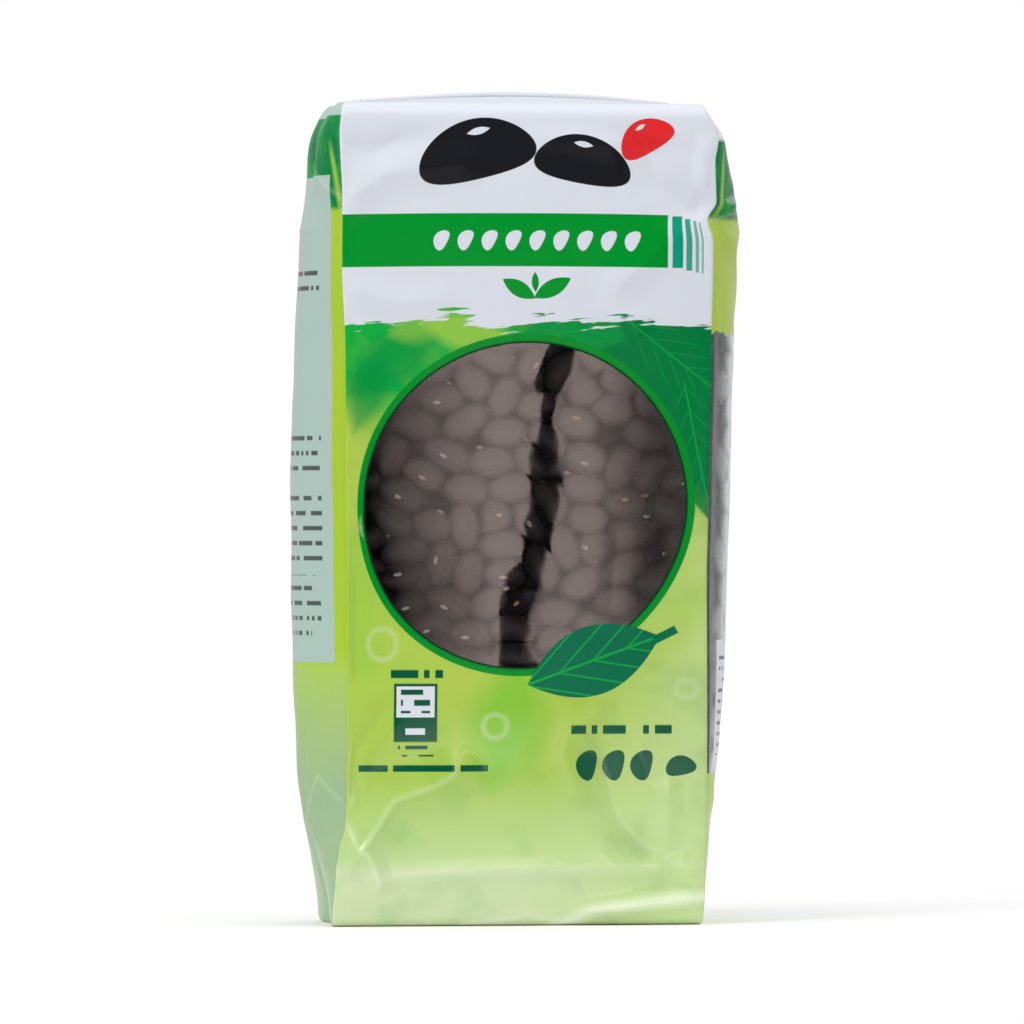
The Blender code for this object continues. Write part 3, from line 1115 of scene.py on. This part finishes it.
def behindWindow(shape):
    # tells whether a face lies inside the round cut for the window
    uvLayer = shape.loops.layers.uv["film"]

    def inside(face):
        middle = sum((loop[uvLayer].uv for loop in face.loops), Vector((0, 0))) / len(face.loops)
        u = (middle.x - film["middle"][0]) * film["scale"] - window["u"]
        return math.hypot(u, middle.y * film["scale"] - window["v"]) <= window["cut"]
    return inside


def alongStrip(face):
    height = sum(vert.co.z for vert in face.verts) / len(face.verts)
    return sideStrip["cutLow"] < height < sideStrip["cutHigh"]


keepFaces(windowShape, behindWindow(windowShape))
inWindow = behindWindow(frontShape)
keepFaces(frontShape, lambda face: not inWindow(face))
frontFilm = addPiece("frontFilm", frontShape, printedFront())
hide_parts("bag_of_beans")

leftShape = layFilm(film["sideColumns"], film["rows"], sidePlace(-1))
addPiece("leftGusset", leftShape, leftPrint())

rightShape = layFilm(film["sideColumns"], film["rows"], sidePlace(1))
clearShape = rightShape.copy()
keepFaces(clearShape, alongStrip)
keepFaces(rightShape, lambda face: not alongStrip(face))
addPiece("rightGusset", rightShape, rightPrint(False))

backInk = backPrint()
addPiece("backFilm", layFilm(film["columns"], film["rows"], backPlace), backInk)
topShape = layFilm(film["columns"], film["sideColumns"], endPlace(True))
addPiece("topFilm", topShape, plainFilm("topPrint", "white"))
footShape = layFilm(film["columns"], film["sideColumns"], endPlace(False))
addPiece("footFilm", footShape, plainFilm("footPrint", "pale"))

# The loose beans that show behind the window and the side strip; ranges are in millimetres
beans = {
    "front": 280,
    "frontRange": ((-40, 34), (-18, -7), (48, 138)),
    "side": 118,
    "sideRange": ((34, 46), (-17, 18), (26, 140)),
    "halfLong": 5.3 * mm,
    "halfWide": 3.4 * mm,
    "halfThick": 2.65 * mm,
    "longer": (0.8, 1.15),
    "bigger": (0.9, 1.07),
    "upright": 0.13,  # share that doesn't lie level
    "lyingTurn": 0.3,
    "layerDepth": 15 * mm,
    "filmGap": 0.8 * mm,
    "pull": 0.03 * mm,  # towards the film, in each step
    "sink": 0.006 * mm,
    "lowest": (47 * mm, 27 * mm),  # behind the front film, behind the gusset
    "highest": 141 * mm,
    "alongFilm": (5 * mm, 0.9),
    "eager": 1.4,  # how much of an overlap a step takes out
    "level": 0.985,  # how far each step keeps the lying ones level
    "steps": 420,
    "growth": (0.55, 0.45, 0.6),  # first size, what is added, and by which share of the steps
    "pairEvery": 12,  # steps between two searches for near pairs
    "pairReach": 2.4,
    "shown": (4.5 * mm, -37 * mm, 36 * mm),  # margin around the window, left and right ends
    "eyeShare": 0.34,
    "eyeRoll": (0.85, 1.35),
    "roll": 0.16,
    "eyeSize": (0.52 * mm, 0.3 * mm, 1.0 * mm),
    "segments": (10, 6),
    "eyeSegments": (6, 4),
    "seed": 11,
}


def filmAt(spots):
    # distances in from the front film, the right gusset, the left gusset and the back film
    x, y, z = spots[:, 0], spots[:, 1], spots[:, 2]
    clearOf = np.clip(z, bag["footRadius"], bag["height"] - bag["topRadius"])
    zero = np.zeros_like(clearOf)
    across = np.clip(x / bag["creaseHalf"], -1, 1)
    frontY = bagSection(across, zero - 1, clearOf, zero)[1]
    backY = bagSection(across, zero + 1, clearOf, zero)[1]
    middleY = (frontY + backY) / 2
    deep = np.clip((y - middleY) / ((backY - frontY) / 2), -1, 1)
    rightX = bagSection(zero + 1, deep, clearOf, zero)[0]
    leftX = bagSection(zero - 1, deep, clearOf, zero)[0]
    return y - frontY, rightX - x, x - leftX, backY - y


def closestOnRods(p0, p1, q0, q1):
    # shares along two rods at which they come closest
    d1, d2, r = p1 - p0, q1 - q0, p0 - q0
    a = (d1 * d1).sum(1)
    e = (d2 * d2).sum(1)
    f = (d2 * r).sum(1)
    c = (d1 * r).sum(1)
    b = (d1 * d2).sum(1)
    s = np.clip((b * f - c * e) / np.maximum(a * e - b * b, 1e-12), 0, 1)
    t = np.clip((b * s + f) / e, 0, 1)
    s = np.clip((b * t - c) / a, 0, 1)
    return s, t


def strewn(rng, ranges, count):
    return np.stack([rng.uniform(low, high, count) * mm for low, high in ranges], axis=1)


def pushApart(low, high, pairs, facing, size, growth):
    # takes out part of each overlap by moving the rods' ends; across the film beans are thinner than along it
    first, second = pairs
    pairFacing = (facing[first] + facing[second]) / 2
    flatten = beans["halfWide"] / beans["halfThick"] - 1.0
    thinner = [1 + flatten * (1 - pairFacing), 1 + flatten * pairFacing, np.ones_like(pairFacing)]
    scale = np.stack(thinner, axis=1)
    s, t = closestOnRods(low[first] * scale, high[first] * scale, low[second] * scale, high[second] * scale)
    contactA = low[first] + (high[first] - low[first]) * s[:, None]
    contactB = low[second] + (high[second] - low[second]) * t[:, None]
    offset = (contactB - contactA) * scale
    distance = np.maximum(np.linalg.norm(offset, axis=1), 1e-7)
    overlap = np.maximum(beans["halfWide"] * growth * (size[first] + size[second]) - distance, 0.0)
    push = (offset / distance[:, None]) / scale * (overlap * 0.5)[:, None]
    moveLow = np.zeros_like(low)
    moveHigh = np.zeros_like(high)
    hits = np.zeros(len(low)) + 1e-9
    np.add.at(moveLow, first, -push * (1 - s)[:, None] * beans["eager"])
    np.add.at(moveHigh, first, -push * s[:, None] * beans["eager"])
    np.add.at(moveLow, second, push * (1 - t)[:, None] * beans["eager"])
    np.add.at(moveHigh, second, push * t[:, None] * beans["eager"])
    np.add.at(hits, first, overlap > 0)
    np.add.at(hits, second, overlap > 0)
    calm = 1.0 / np.sqrt(np.maximum(hits, 1.0))
    return low + moveLow * calm[:, None], high + moveHigh * calm[:, None], overlap


def heldBehind(rod, radius):
    # moves one end of each rod in from the film, and back from too deep
    front, right, left, back = filmAt(rod)
    rod[:, 1] += np.maximum(radius - front, 0)
    rod[:, 0] -= np.maximum(radius - right, 0)
    rod[:, 0] += np.maximum(radius - left, 0)
    rod[:, 1] -= np.maximum(radius - back, 0)
    strayed = np.maximum(np.minimum(front, right) - beans["layerDepth"], 0)
    rod[:, 1] -= np.where(front < right, strayed, 0)
    rod[:, 0] += np.where(front < right, 0, strayed)
    rod[:, 2] = np.clip(rod[:, 2], np.where(front < right, *beans["lowest"]), beans["highest"])


def settleBeans():
    # rods as thick as beans are pushed apart and against the film until they lie close
    rng = np.random.default_rng(beans["seed"])
    total = beans["front"] + beans["side"]
    frontSpots = strewn(rng, beans["frontRange"], beans["front"])
    sideSpots = strewn(rng, beans["sideRange"], beans["side"])
    spots = np.concatenate([frontSpots, sideSpots])
    lying = rng.random(total) > beans["upright"]
    turn = np.where(lying, rng.normal(0, beans["lyingTurn"], total), rng.uniform(0, math.pi, total))
    onSide = np.arange(total) >= beans["front"]
    flatways = np.where(onSide[:, None], np.array([[0.0, 1.0, 0.0]]), np.array([[1.0, 0.0, 0.0]]))
    axis = flatways * np.cos(turn)[:, None] + np.array([[0.0, 0.0, 1.0]]) * np.sin(turn)[:, None]
    half = (beans["halfLong"] - beans["halfWide"]) * rng.uniform(*beans["longer"], total)
    size = rng.uniform(*beans["bigger"], total)
    low, high = spots - axis * half[:, None], spots + axis * half[:, None]
    toFront, toRight = np.array([[0.0, -1.0, 0.0]]), np.array([[1.0, 0.0, 0.0]])
    down = np.array([[0.0, 0.0, -beans["sink"]]])
    nearFilm, thinning = beans["alongFilm"]
    first, grown, share = beans["growth"]
    for step in range(beans["steps"]):
        growth = min(1.0, first + grown * step / (share * beans["steps"]))
        middle = (low + high) / 2
        front, right = filmAt(middle)[:2]
        facing = np.clip(right / np.maximum(front + right, 1e-6), 0, 1)
        if step % beans["pairEvery"] == 0:
            apart = np.linalg.norm(middle[:, None, :] - middle[None, :, :], axis=2)
            pairs = np.nonzero(np.triu(apart < beans["pairReach"] * beans["halfLong"], 1))
        low, high, overlap = pushApart(low, high, pairs, facing, size, growth)
        # drawn towards the nearer film, and settled a little
        towards = np.where((front < right)[:, None], toFront, toRight)
        low = low + towards * beans["pull"] + down
        high = high + towards * beans["pull"] + down
        for rod in (low, high):
            heldBehind(rod, beans["halfThick"] * size * growth + beans["filmGap"])
        # each rod keeps its length and lies along the film
        middle = (low + high) / 2
        axis = high - low
        front, right = filmAt(middle)[:2]
        axis[:, 2] *= np.where(lying, beans["level"], 1.0)
        axis[:, 1] *= np.where((front < right) & (front < nearFilm), thinning, 1.0)
        axis[:, 0] *= np.where((front >= right) & (right < nearFilm), thinning, 1.0)
        axis = axis / np.maximum(np.linalg.norm(axis, axis=1), 1e-9)[:, None]
        low, high = middle - axis * half[:, None], middle + axis * half[:, None]
    front, right = filmAt(middle)[:2]
    worst = float(np.sort(overlap)[-20:].mean() / mm)
    print("beans settled, overlap of the tightest", round(worst, 2), "mm")
    margin, leftEnd, rightEnd = beans["shown"]
    shows = np.hypot(middle[:, 0] - window["u"], middle[:, 2] - window["v"]) < window["clear"] + margin
    shows = (shows & (middle[:, 0] > leftEnd) & (middle[:, 0] < rightEnd)) | (right < beans["layerDepth"])
    return [part[shows] for part in (middle, axis, size, half, front < right, np.minimum(front, right))]


def beanForm():
    # one bean lying along Z: an oval bent into a kidney, with its eye side towards +Y
    shape = bmesh.new()
    segments, rings = beans["segments"]
    bmesh.ops.create_uvsphere(shape, u_segments=segments, v_segments=rings, radius=1.0)
    for vert in shape.verts:
        bend = vert.co.z**2
        hollow = 0.22 * (1 - bend) * max(vert.co.y, 0.0)
        vert.co.y = vert.co.y * (0.95 + 0.05 * bend) - hollow + 0.16 * bend
    return shape


def eyeForm():
    shape = bmesh.new()
    segments, rings = beans["eyeSegments"]
    bmesh.ops.create_uvsphere(shape, u_segments=segments, v_segments=rings, radius=1.0)
    return shape


def keepInside(spot, turn, sizes, outline):
    # moves a bean in from the film until the whole of it clears the film
    swing = np.array(turn.to_3x3() @ Matrix.Diagonal(sizes))
    reach = outline @ swing.T
    for attempt in range(3):
        front, right, left, back = (float(gap.min()) for gap in filmAt(reach + np.array(spot)))
        spot.y += max(beans["filmGap"] - front, 0) - max(beans["filmGap"] - back, 0)
        spot.x += max(beans["filmGap"] - left, 0) - max(beans["filmGap"] - right, 0)
    return spot


def scatter(form, matrices, tones):
    # one joined mesh of many copies of a small form
    source = bpy.data.meshes.new("form")
    form.to_mesh(source)
    form.free()
    joined = bmesh.new()
    tone = joined.verts.layers.float.new("tone")
    count = len(source.vertices)
    for matrix, value in zip(matrices, tones):
        joined.from_mesh(source)
        joined.verts.ensure_lookup_table()
        added = joined.verts[-count:]
        bmesh.ops.transform(joined, matrix=matrix, verts=added)
        for vert in added:
            vert[tone] = value
    bpy.data.meshes.remove(source)
    return joined


print("settling the beans")
middles, beanAxes, beanSizes, beanHalves, onFront, depths = settleBeans()
dice = random.Random(beans["seed"])
matrices, eyes, tones, eyeTones = [], [], [], []
beanMesh = beanForm()
beanOutline = np.array([vert.co for vert in beanMesh.verts])
for k, spot in enumerate(middles):
    axis = Vector(beanAxes[k]).normalized()
    outward = Vector((0, -1, 0)) if onFront[k] else Vector((1, 0, 0))
    showsEye = dice.random() < beans["eyeShare"]
    if showsEye:
        roll = dice.choice((-1, 1)) * dice.uniform(*beans["eyeRoll"])
    else:
        roll = dice.gauss(0, beans["roll"])
    thin = (outward - axis * outward.dot(axis)).normalized()
    thin.rotate(Matrix.Rotation(roll, 3, axis))
    wide = thin.cross(axis).normalized()
    if wide.dot(outward) < 0:
        wide, axis = -wide, -axis
    scale = beanSizes[k] * dice.uniform(0.97, 1.03)
    halfWide = beans["halfWide"] * scale * (1.0 - 0.2 * abs(math.sin(roll)))
    halfLong = beanHalves[k] + beans["halfWide"] * 0.95 * beanSizes[k]
    turn = Matrix((thin, wide, axis)).transposed().to_4x4()
    sizes = Vector((beans["halfThick"] * scale, halfWide, halfLong))
    spot = keepInside(Vector(spot), turn, sizes, beanOutline)
    place = Matrix.Translation(spot) @ turn
    matrices.append(place @ Matrix.Diagonal((*sizes, 1)))
    tones.append(dice.random() ** 2)
    if showsEye:
        eyePlace = Matrix.Translation((0, halfWide * 0.75, dice.uniform(-0.6, 0.6) * mm))
        thick, high, long = beans["eyeSize"]
        eyes.append(place @ eyePlace @ Matrix.Diagonal((thick, high, dice.uniform(0.85, 1.15) * long, 1)))
        eyeTones.append(dice.random() ** 2)
addPiece("beans", scatter(beanMesh, matrices, tones), beanCoat())
addPiece("beanEyes", scatter(eyeForm(), eyes, eyeTones), hilumSkin())


# Windows: the same film without print, dimpled over the beans
def drape(points, facing, valley, tilt):
    # how far the film sinks: it lies flat on each bean, tilted a little its own way, and dips between them;
    # also how fully it rests there
    rng = np.random.default_rng(beans["seed"])
    flat = [0, 2] if facing else [1, 2]
    nearest = np.full(len(points), 9.0)
    lift = np.zeros(len(points))
    for k in np.nonzero((depths < clearFilm["restDepth"]) & (onFront == facing))[0]:
        away = points - middles[k]
        run = (away * beanAxes[k]).sum(1)
        side = np.sqrt(np.maximum((away[:, flat] ** 2).sum(1) - run**2, 0))
        share = np.hypot(run / (beanHalves[k] + beans["halfWide"]), side / beans["halfWide"])
        slope = rng.normal(0, tilt, 2)
        mine = share < nearest
        nearest = np.where(mine, share, nearest)
        lift = np.where(mine, (away[:, flat] * slope).sum(1), lift)
    reach, soft = clearFilm["restReach"]
    rest = smooth((reach - nearest) / soft)
    return (1.0 - rest) * valley - lift * rest, rest


print("draping the windows")
bmesh.ops.subdivide_edges(windowShape, edges=windowShape.edges, cuts=1, use_grid_fill=True)
uvLayer = windowShape.loops.layers.uv["film"]
flat = np.array([vert.link_loops[0][uvLayer].uv for vert in windowShape.verts])
u, v = ((flat - film["middle"]) * film["scale"]).T
points = frontSurface(u, v)
margin, soft = clearFilm["ringFade"]
inner = smooth((window["clear"] - margin - np.hypot(u - window["u"], v - window["v"])) / soft)
sink, rest = drape(points, True, clearFilm["valley"], clearFilm["tilt"])
points[:, 1] += sink * inner
movePoints(windowShape, points)
writeLayer(windowShape, "rest", 1.0 - (1.0 - rest) * inner)
addPiece("windowFilm", windowShape, windowFilm())

points = np.array([vert.co for vert in clearShape.verts])
inner = smooth((points[:, 2] - sideStrip["cutLow"]) / clearFilm["endFade"])
inner = inner * smooth((sideStrip["cutHigh"] - points[:, 2]) / clearFilm["endFade"])
toCrease = np.minimum(abs(points[:, 1] + bag["bellyDepth"]), abs(points[:, 1] - bag["bellyDepth"]))
inner = inner * smooth(toCrease / film["creaseFade"])
sink, rest = drape(points, False, clearFilm["sideValley"], clearFilm["sideTilt"])
for vert, drop in zip(clearShape.verts, sink * inner):
    vert.co.x -= drop
writeLayer(clearShape, "rest", 1.0 - (1.0 - rest) * inner)
addPiece("sideWindow", clearShape, rightPrint(True))

# The mass behind the loose beans, painted dark as the deeper beans in shade
core = {"low": (-35 * mm, -9 * mm, 6 * mm), "high": (36 * mm, 15 * mm, 170 * mm), "radius": 6 * mm}
coreShape = bmesh.new()
bmesh.ops.create_cube(coreShape, size=1.0)
size = [high - low for low, high in zip(core["low"], core["high"])]
middle = [(high + low) / 2 for low, high in zip(core["low"], core["high"])]
bmesh.ops.scale(coreShape, vec=size, verts=coreShape.verts)
bmesh.ops.translate(coreShape, vec=middle, verts=coreShape.verts)
bmesh.ops.bevel(coreShape, geom=coreShape.edges[:], offset=core["radius"], offset_type="OFFSET", segments=4,
                profile=0.5, affect="EDGES", material=-1)
addPiece("beanCore", coreShape, coreDarkShade())

# The sealed end and the long seam of the film tube
fin = {"length": 74 * mm, "width": 12 * mm, "rise": 0.8 * mm, "root": 0.1 * mm, "middle": 0.35,
       "ribPitch": 1.7 * mm, "ribRise": 0.12 * mm, "slack": 0.25 * mm}
seam = {"width": 10 * mm, "rise": 0.54 * mm, "root": 0.3 * mm, "ends": (0.06, 0.94),
        "ribPitch": 1.4 * mm, "ribRise": 0.06 * mm, "slack": 0.3 * mm}


def cutCube(cuts):
    # a cube of side 2 with its edges along X, Y and Z cut into that many pieces; also its points
    shape = bmesh.new()
    bmesh.ops.create_cube(shape, size=2.0)
    for axis, pieces in enumerate(cuts):
        edges = [edge for edge in shape.edges if abs(edge.verts[0].co[axis] - edge.verts[1].co[axis]) > 1.0]
        bmesh.ops.subdivide_edges(shape, edges=edges, cuts=pieces - 1, use_grid_fill=True)
    return shape, np.array([vert.co for vert in shape.verts])


def addSeal(name, shape, points, material):
    movePoints(shape, np.stack(points, axis=1))
    bmesh.ops.recalc_face_normals(shape, faces=shape.faces)
    addPiece(name, shape, material)


def foldedFin():
    shape, share = cutCube((150, 14, 1))
    reach = bag["creaseHalf"] - bag["topRadius"] * bag["cornerShare"]
    across = share[:, 0] * fin["length"] / 2 / reach
    deep = fin["middle"] + share[:, 1] * fin["width"] / 2 / (bag["endDepth"] - bag["topRadius"])
    z = np.full_like(across, bag["height"])
    x, y = bagSection(across, deep, z, z * 0 + bag["topRadius"])
    z = z + bag["topCrown"] * (1.0 - across**2) * (1.0 - deep**2)
    ribs = fin["ribRise"] * np.sin(2 * math.pi * y / fin["ribPitch"]) * (abs(share[:, 0]) < 0.99)
    slack = fin["slack"] * waves(np.stack([x, y, z], axis=1), 16 * mm, 12)
    z = z + np.where(share[:, 2] > 0, fin["rise"] + ribs + slack, -fin["root"])
    addSeal("topFin", shape, [x, y, z], plainFilm("finPrint", "white"))


def longSeam():
    shape, share = cutCube((12, 1, 150))
    across = share[:, 0] * seam["width"] / 2 / bag["creaseHalf"]
    low, high = (end * bag["height"] for end in seam["ends"])
    z = low + (high - low) * (share[:, 2] + 1) / 2
    x, y = bagSection(across, across * 0 + 1.0, z, z * 0)
    ribs = seam["ribRise"] * np.sin(2 * math.pi * x / seam["ribPitch"]) * (abs(share[:, 0]) < 0.95)
    slack = seam["slack"] * waves(np.stack([x, y, z], axis=1), 12 * mm, 14) * (0.4 + 0.6 * abs(share[:, 0]))
    y = y + np.where(share[:, 1] > 0, seam["rise"] + ribs + abs(slack), -seam["root"])
    addSeal("backSeam", shape, [x, y, z], backInk)


print("folding the fin and the seam")
foldedFin()
longSeam()

# Studio: a pale floor, an even white surround that is dark only towards the camera, and soft lights
studio = {
    "azimuth": -8.0,
    "distance": 2.0,
    "aimHeight": 91 * mm,
    "aimShift": 0.4 * mm,
    "lens": 317.0,
    "sensor": 36.0,
    "surround": 0.6,
    "darkTowards": (6.0, 5.0),  # azimuth and elevation
    "floorTone": 0.96,
    "floorRadius": 1.2,
    "floorReach": 0.25,
    "lightAim": 90 * mm,
    "lights": [  # azimuth, elevation, distance, width, height, radiance
        ("keyLeft", -56, 28, 1.9, 1.1, 1.1, 4.5),
        ("keyRight", 58, 24, 1.9, 1.1, 1.1, 1.3),
        ("overhead", 0, 80, 1.6, 1.6, 1.2, 1.6),
        ("behind", 128, 26, 1.9, 0.9, 0.9, 1.8),
    ],
    "stripTint": (1.0, 0.87, 0.83),
    "stripRadiance": 2.4,
    "stripDistance": 2.4,
    "stripHeight": 1.3,
    "strips": [  # from and to in degrees of azimuth, and how bright across: place, share
        (-4.5, 9.0, [(0.0, 0.0), (0.7, 1.0)]),
        (10.9, 22.5, [(0.0, 0.95), (0.2, 0.95), (0.55, 0.2), (0.8, 0.2), (1.0, 0.0)]),
    ],
}


def direction(azimuth, elevation):
    # from the bag; azimuth 0 is straight in front of it and grows to its right
    turn, rise = math.radians(azimuth), math.radians(elevation)
    return Vector((math.sin(turn) * math.cos(rise), -math.cos(turn) * math.cos(rise), math.sin(rise)))


def softbox(name, azimuth, elevation, distance, width, height, radiance):
    light = bpy.data.lights.new(name, "AREA")
    light.shape = "RECTANGLE"
    light.size = width
    light.size_y = height
    light.energy = radiance * math.pi * width * height
    lamp = bpy.data.objects.new(name, light)
    lamp.location = Vector((0, 0, studio["lightAim"])) + direction(azimuth, elevation) * distance
    lamp.rotation_euler = direction(azimuth, elevation).to_track_quat("Z", "Y").to_euler()
    lamp.visible_camera = False
    bpy.context.scene.collection.objects.link(lamp)
    return light


def stripLight(low, high, glow):
    # a tall light whose brightness changes across it
    distance, height = studio["stripDistance"], studio["stripHeight"]
    width = 2 * distance * math.tan(math.radians((high - low) / 2))
    light = softbox("strip", (low + high) / 2, 0, distance, width, height, studio["stripRadiance"])
    light.use_nodes = True
    start = Shade(light.node_tree)
    across = parted(start.node("ShaderNodeNewGeometry", None, None, output=5))[0]
    stops = [(spot, (*(part * share for part in studio["stripTint"]), 1.0)) for spot, share in glow]
    colour = across.node("ShaderNodeValToRGB", {"stops": stops}, {0: across})
    feed(light.node_tree.nodes["Emission"], "Color", colour)


def layFloor():
    # pale paper that fades into the white surround
    floorShape = bmesh.new()
    bmesh.ops.create_circle(floorShape, cap_ends=True, segments=64, radius=studio["floorRadius"])
    mesh = bpy.data.meshes.new("floor")
    floorShape.to_mesh(mesh)
    floorShape.free()
    material, start, surface = newMaterial("floorPaper")
    surface.inputs["Base Color"].default_value = (*[studio["floorTone"]] * 3, 1.0)
    surface.inputs["Roughness"].default_value = 0.9
    surface.inputs["Specular IOR Level"].default_value = 0.0
    away = start.node("ShaderNodeVectorMath", {"operation": "LENGTH"}, {0: objectPlace(start)}, output=1)
    seen = 1.0 - (away - studio["floorReach"] * 0.25) * (1.0 / (studio["floorReach"] * 0.75))
    feed(surface, "Alpha", seen.math("SMOOTH_MIN", 1.0, 0.2, clamp=True))
    mesh.materials.append(material)
    floor = bpy.data.objects.new("floor", mesh)
    floor.location = (0, 0, -0.1 * mm)
    bpy.context.scene.collection.objects.link(floor)


def layWorld():
    world = bpy.data.worlds.new("surround")
    bpy.context.scene.world = world
    world.use_nodes = True
    start = Shade(world.node_tree)
    background = world.node_tree.nodes["Background"]
    way = start.node("ShaderNodeTexCoord", None, None, output=0)
    dark = tuple(direction(*studio["darkTowards"]))
    facing = start.node("ShaderNodeVectorMath", {"operation": "DOT_PRODUCT"}, {0: way, 1: dark}, output=1)
    glow = studio["surround"] * (1.0 - (facing - 0.80).ramp(8.0) * 0.97)
    seen = start.node("ShaderNodeLightPath", None, None, output=0)
    feed(background, "Strength", glow + seen * (1.0 - glow))
    background.inputs["Color"].default_value = (1.0, 1.0, 1.0, 1.0)


def setCamera():
    camera = bpy.data.cameras.new("camera")
    camera.lens = studio["lens"]
    camera.sensor_width = studio["sensor"]
    seat = bpy.data.objects.new("camera", camera)
    towards = direction(studio["azimuth"], 0.0)
    rightHand = Vector((-towards.y, towards.x, 0))
    aim = Vector((0, 0, studio["aimHeight"])) + rightHand * studio["aimShift"]
    seat.location = aim + towards * studio["distance"]
    seat.rotation_euler = towards.to_track_quat("Z", "Y").to_euler()
    bpy.context.scene.collection.objects.link(seat)
    bpy.context.scene.camera = seat


print("lights and camera")
layFloor()
layWorld()
for strip in studio["strips"]:
    stripLight(*strip)
for light in studio["lights"]:
    softbox(*light)
setCamera()
bpy.context.scene.view_settings.view_transform = "Standard"
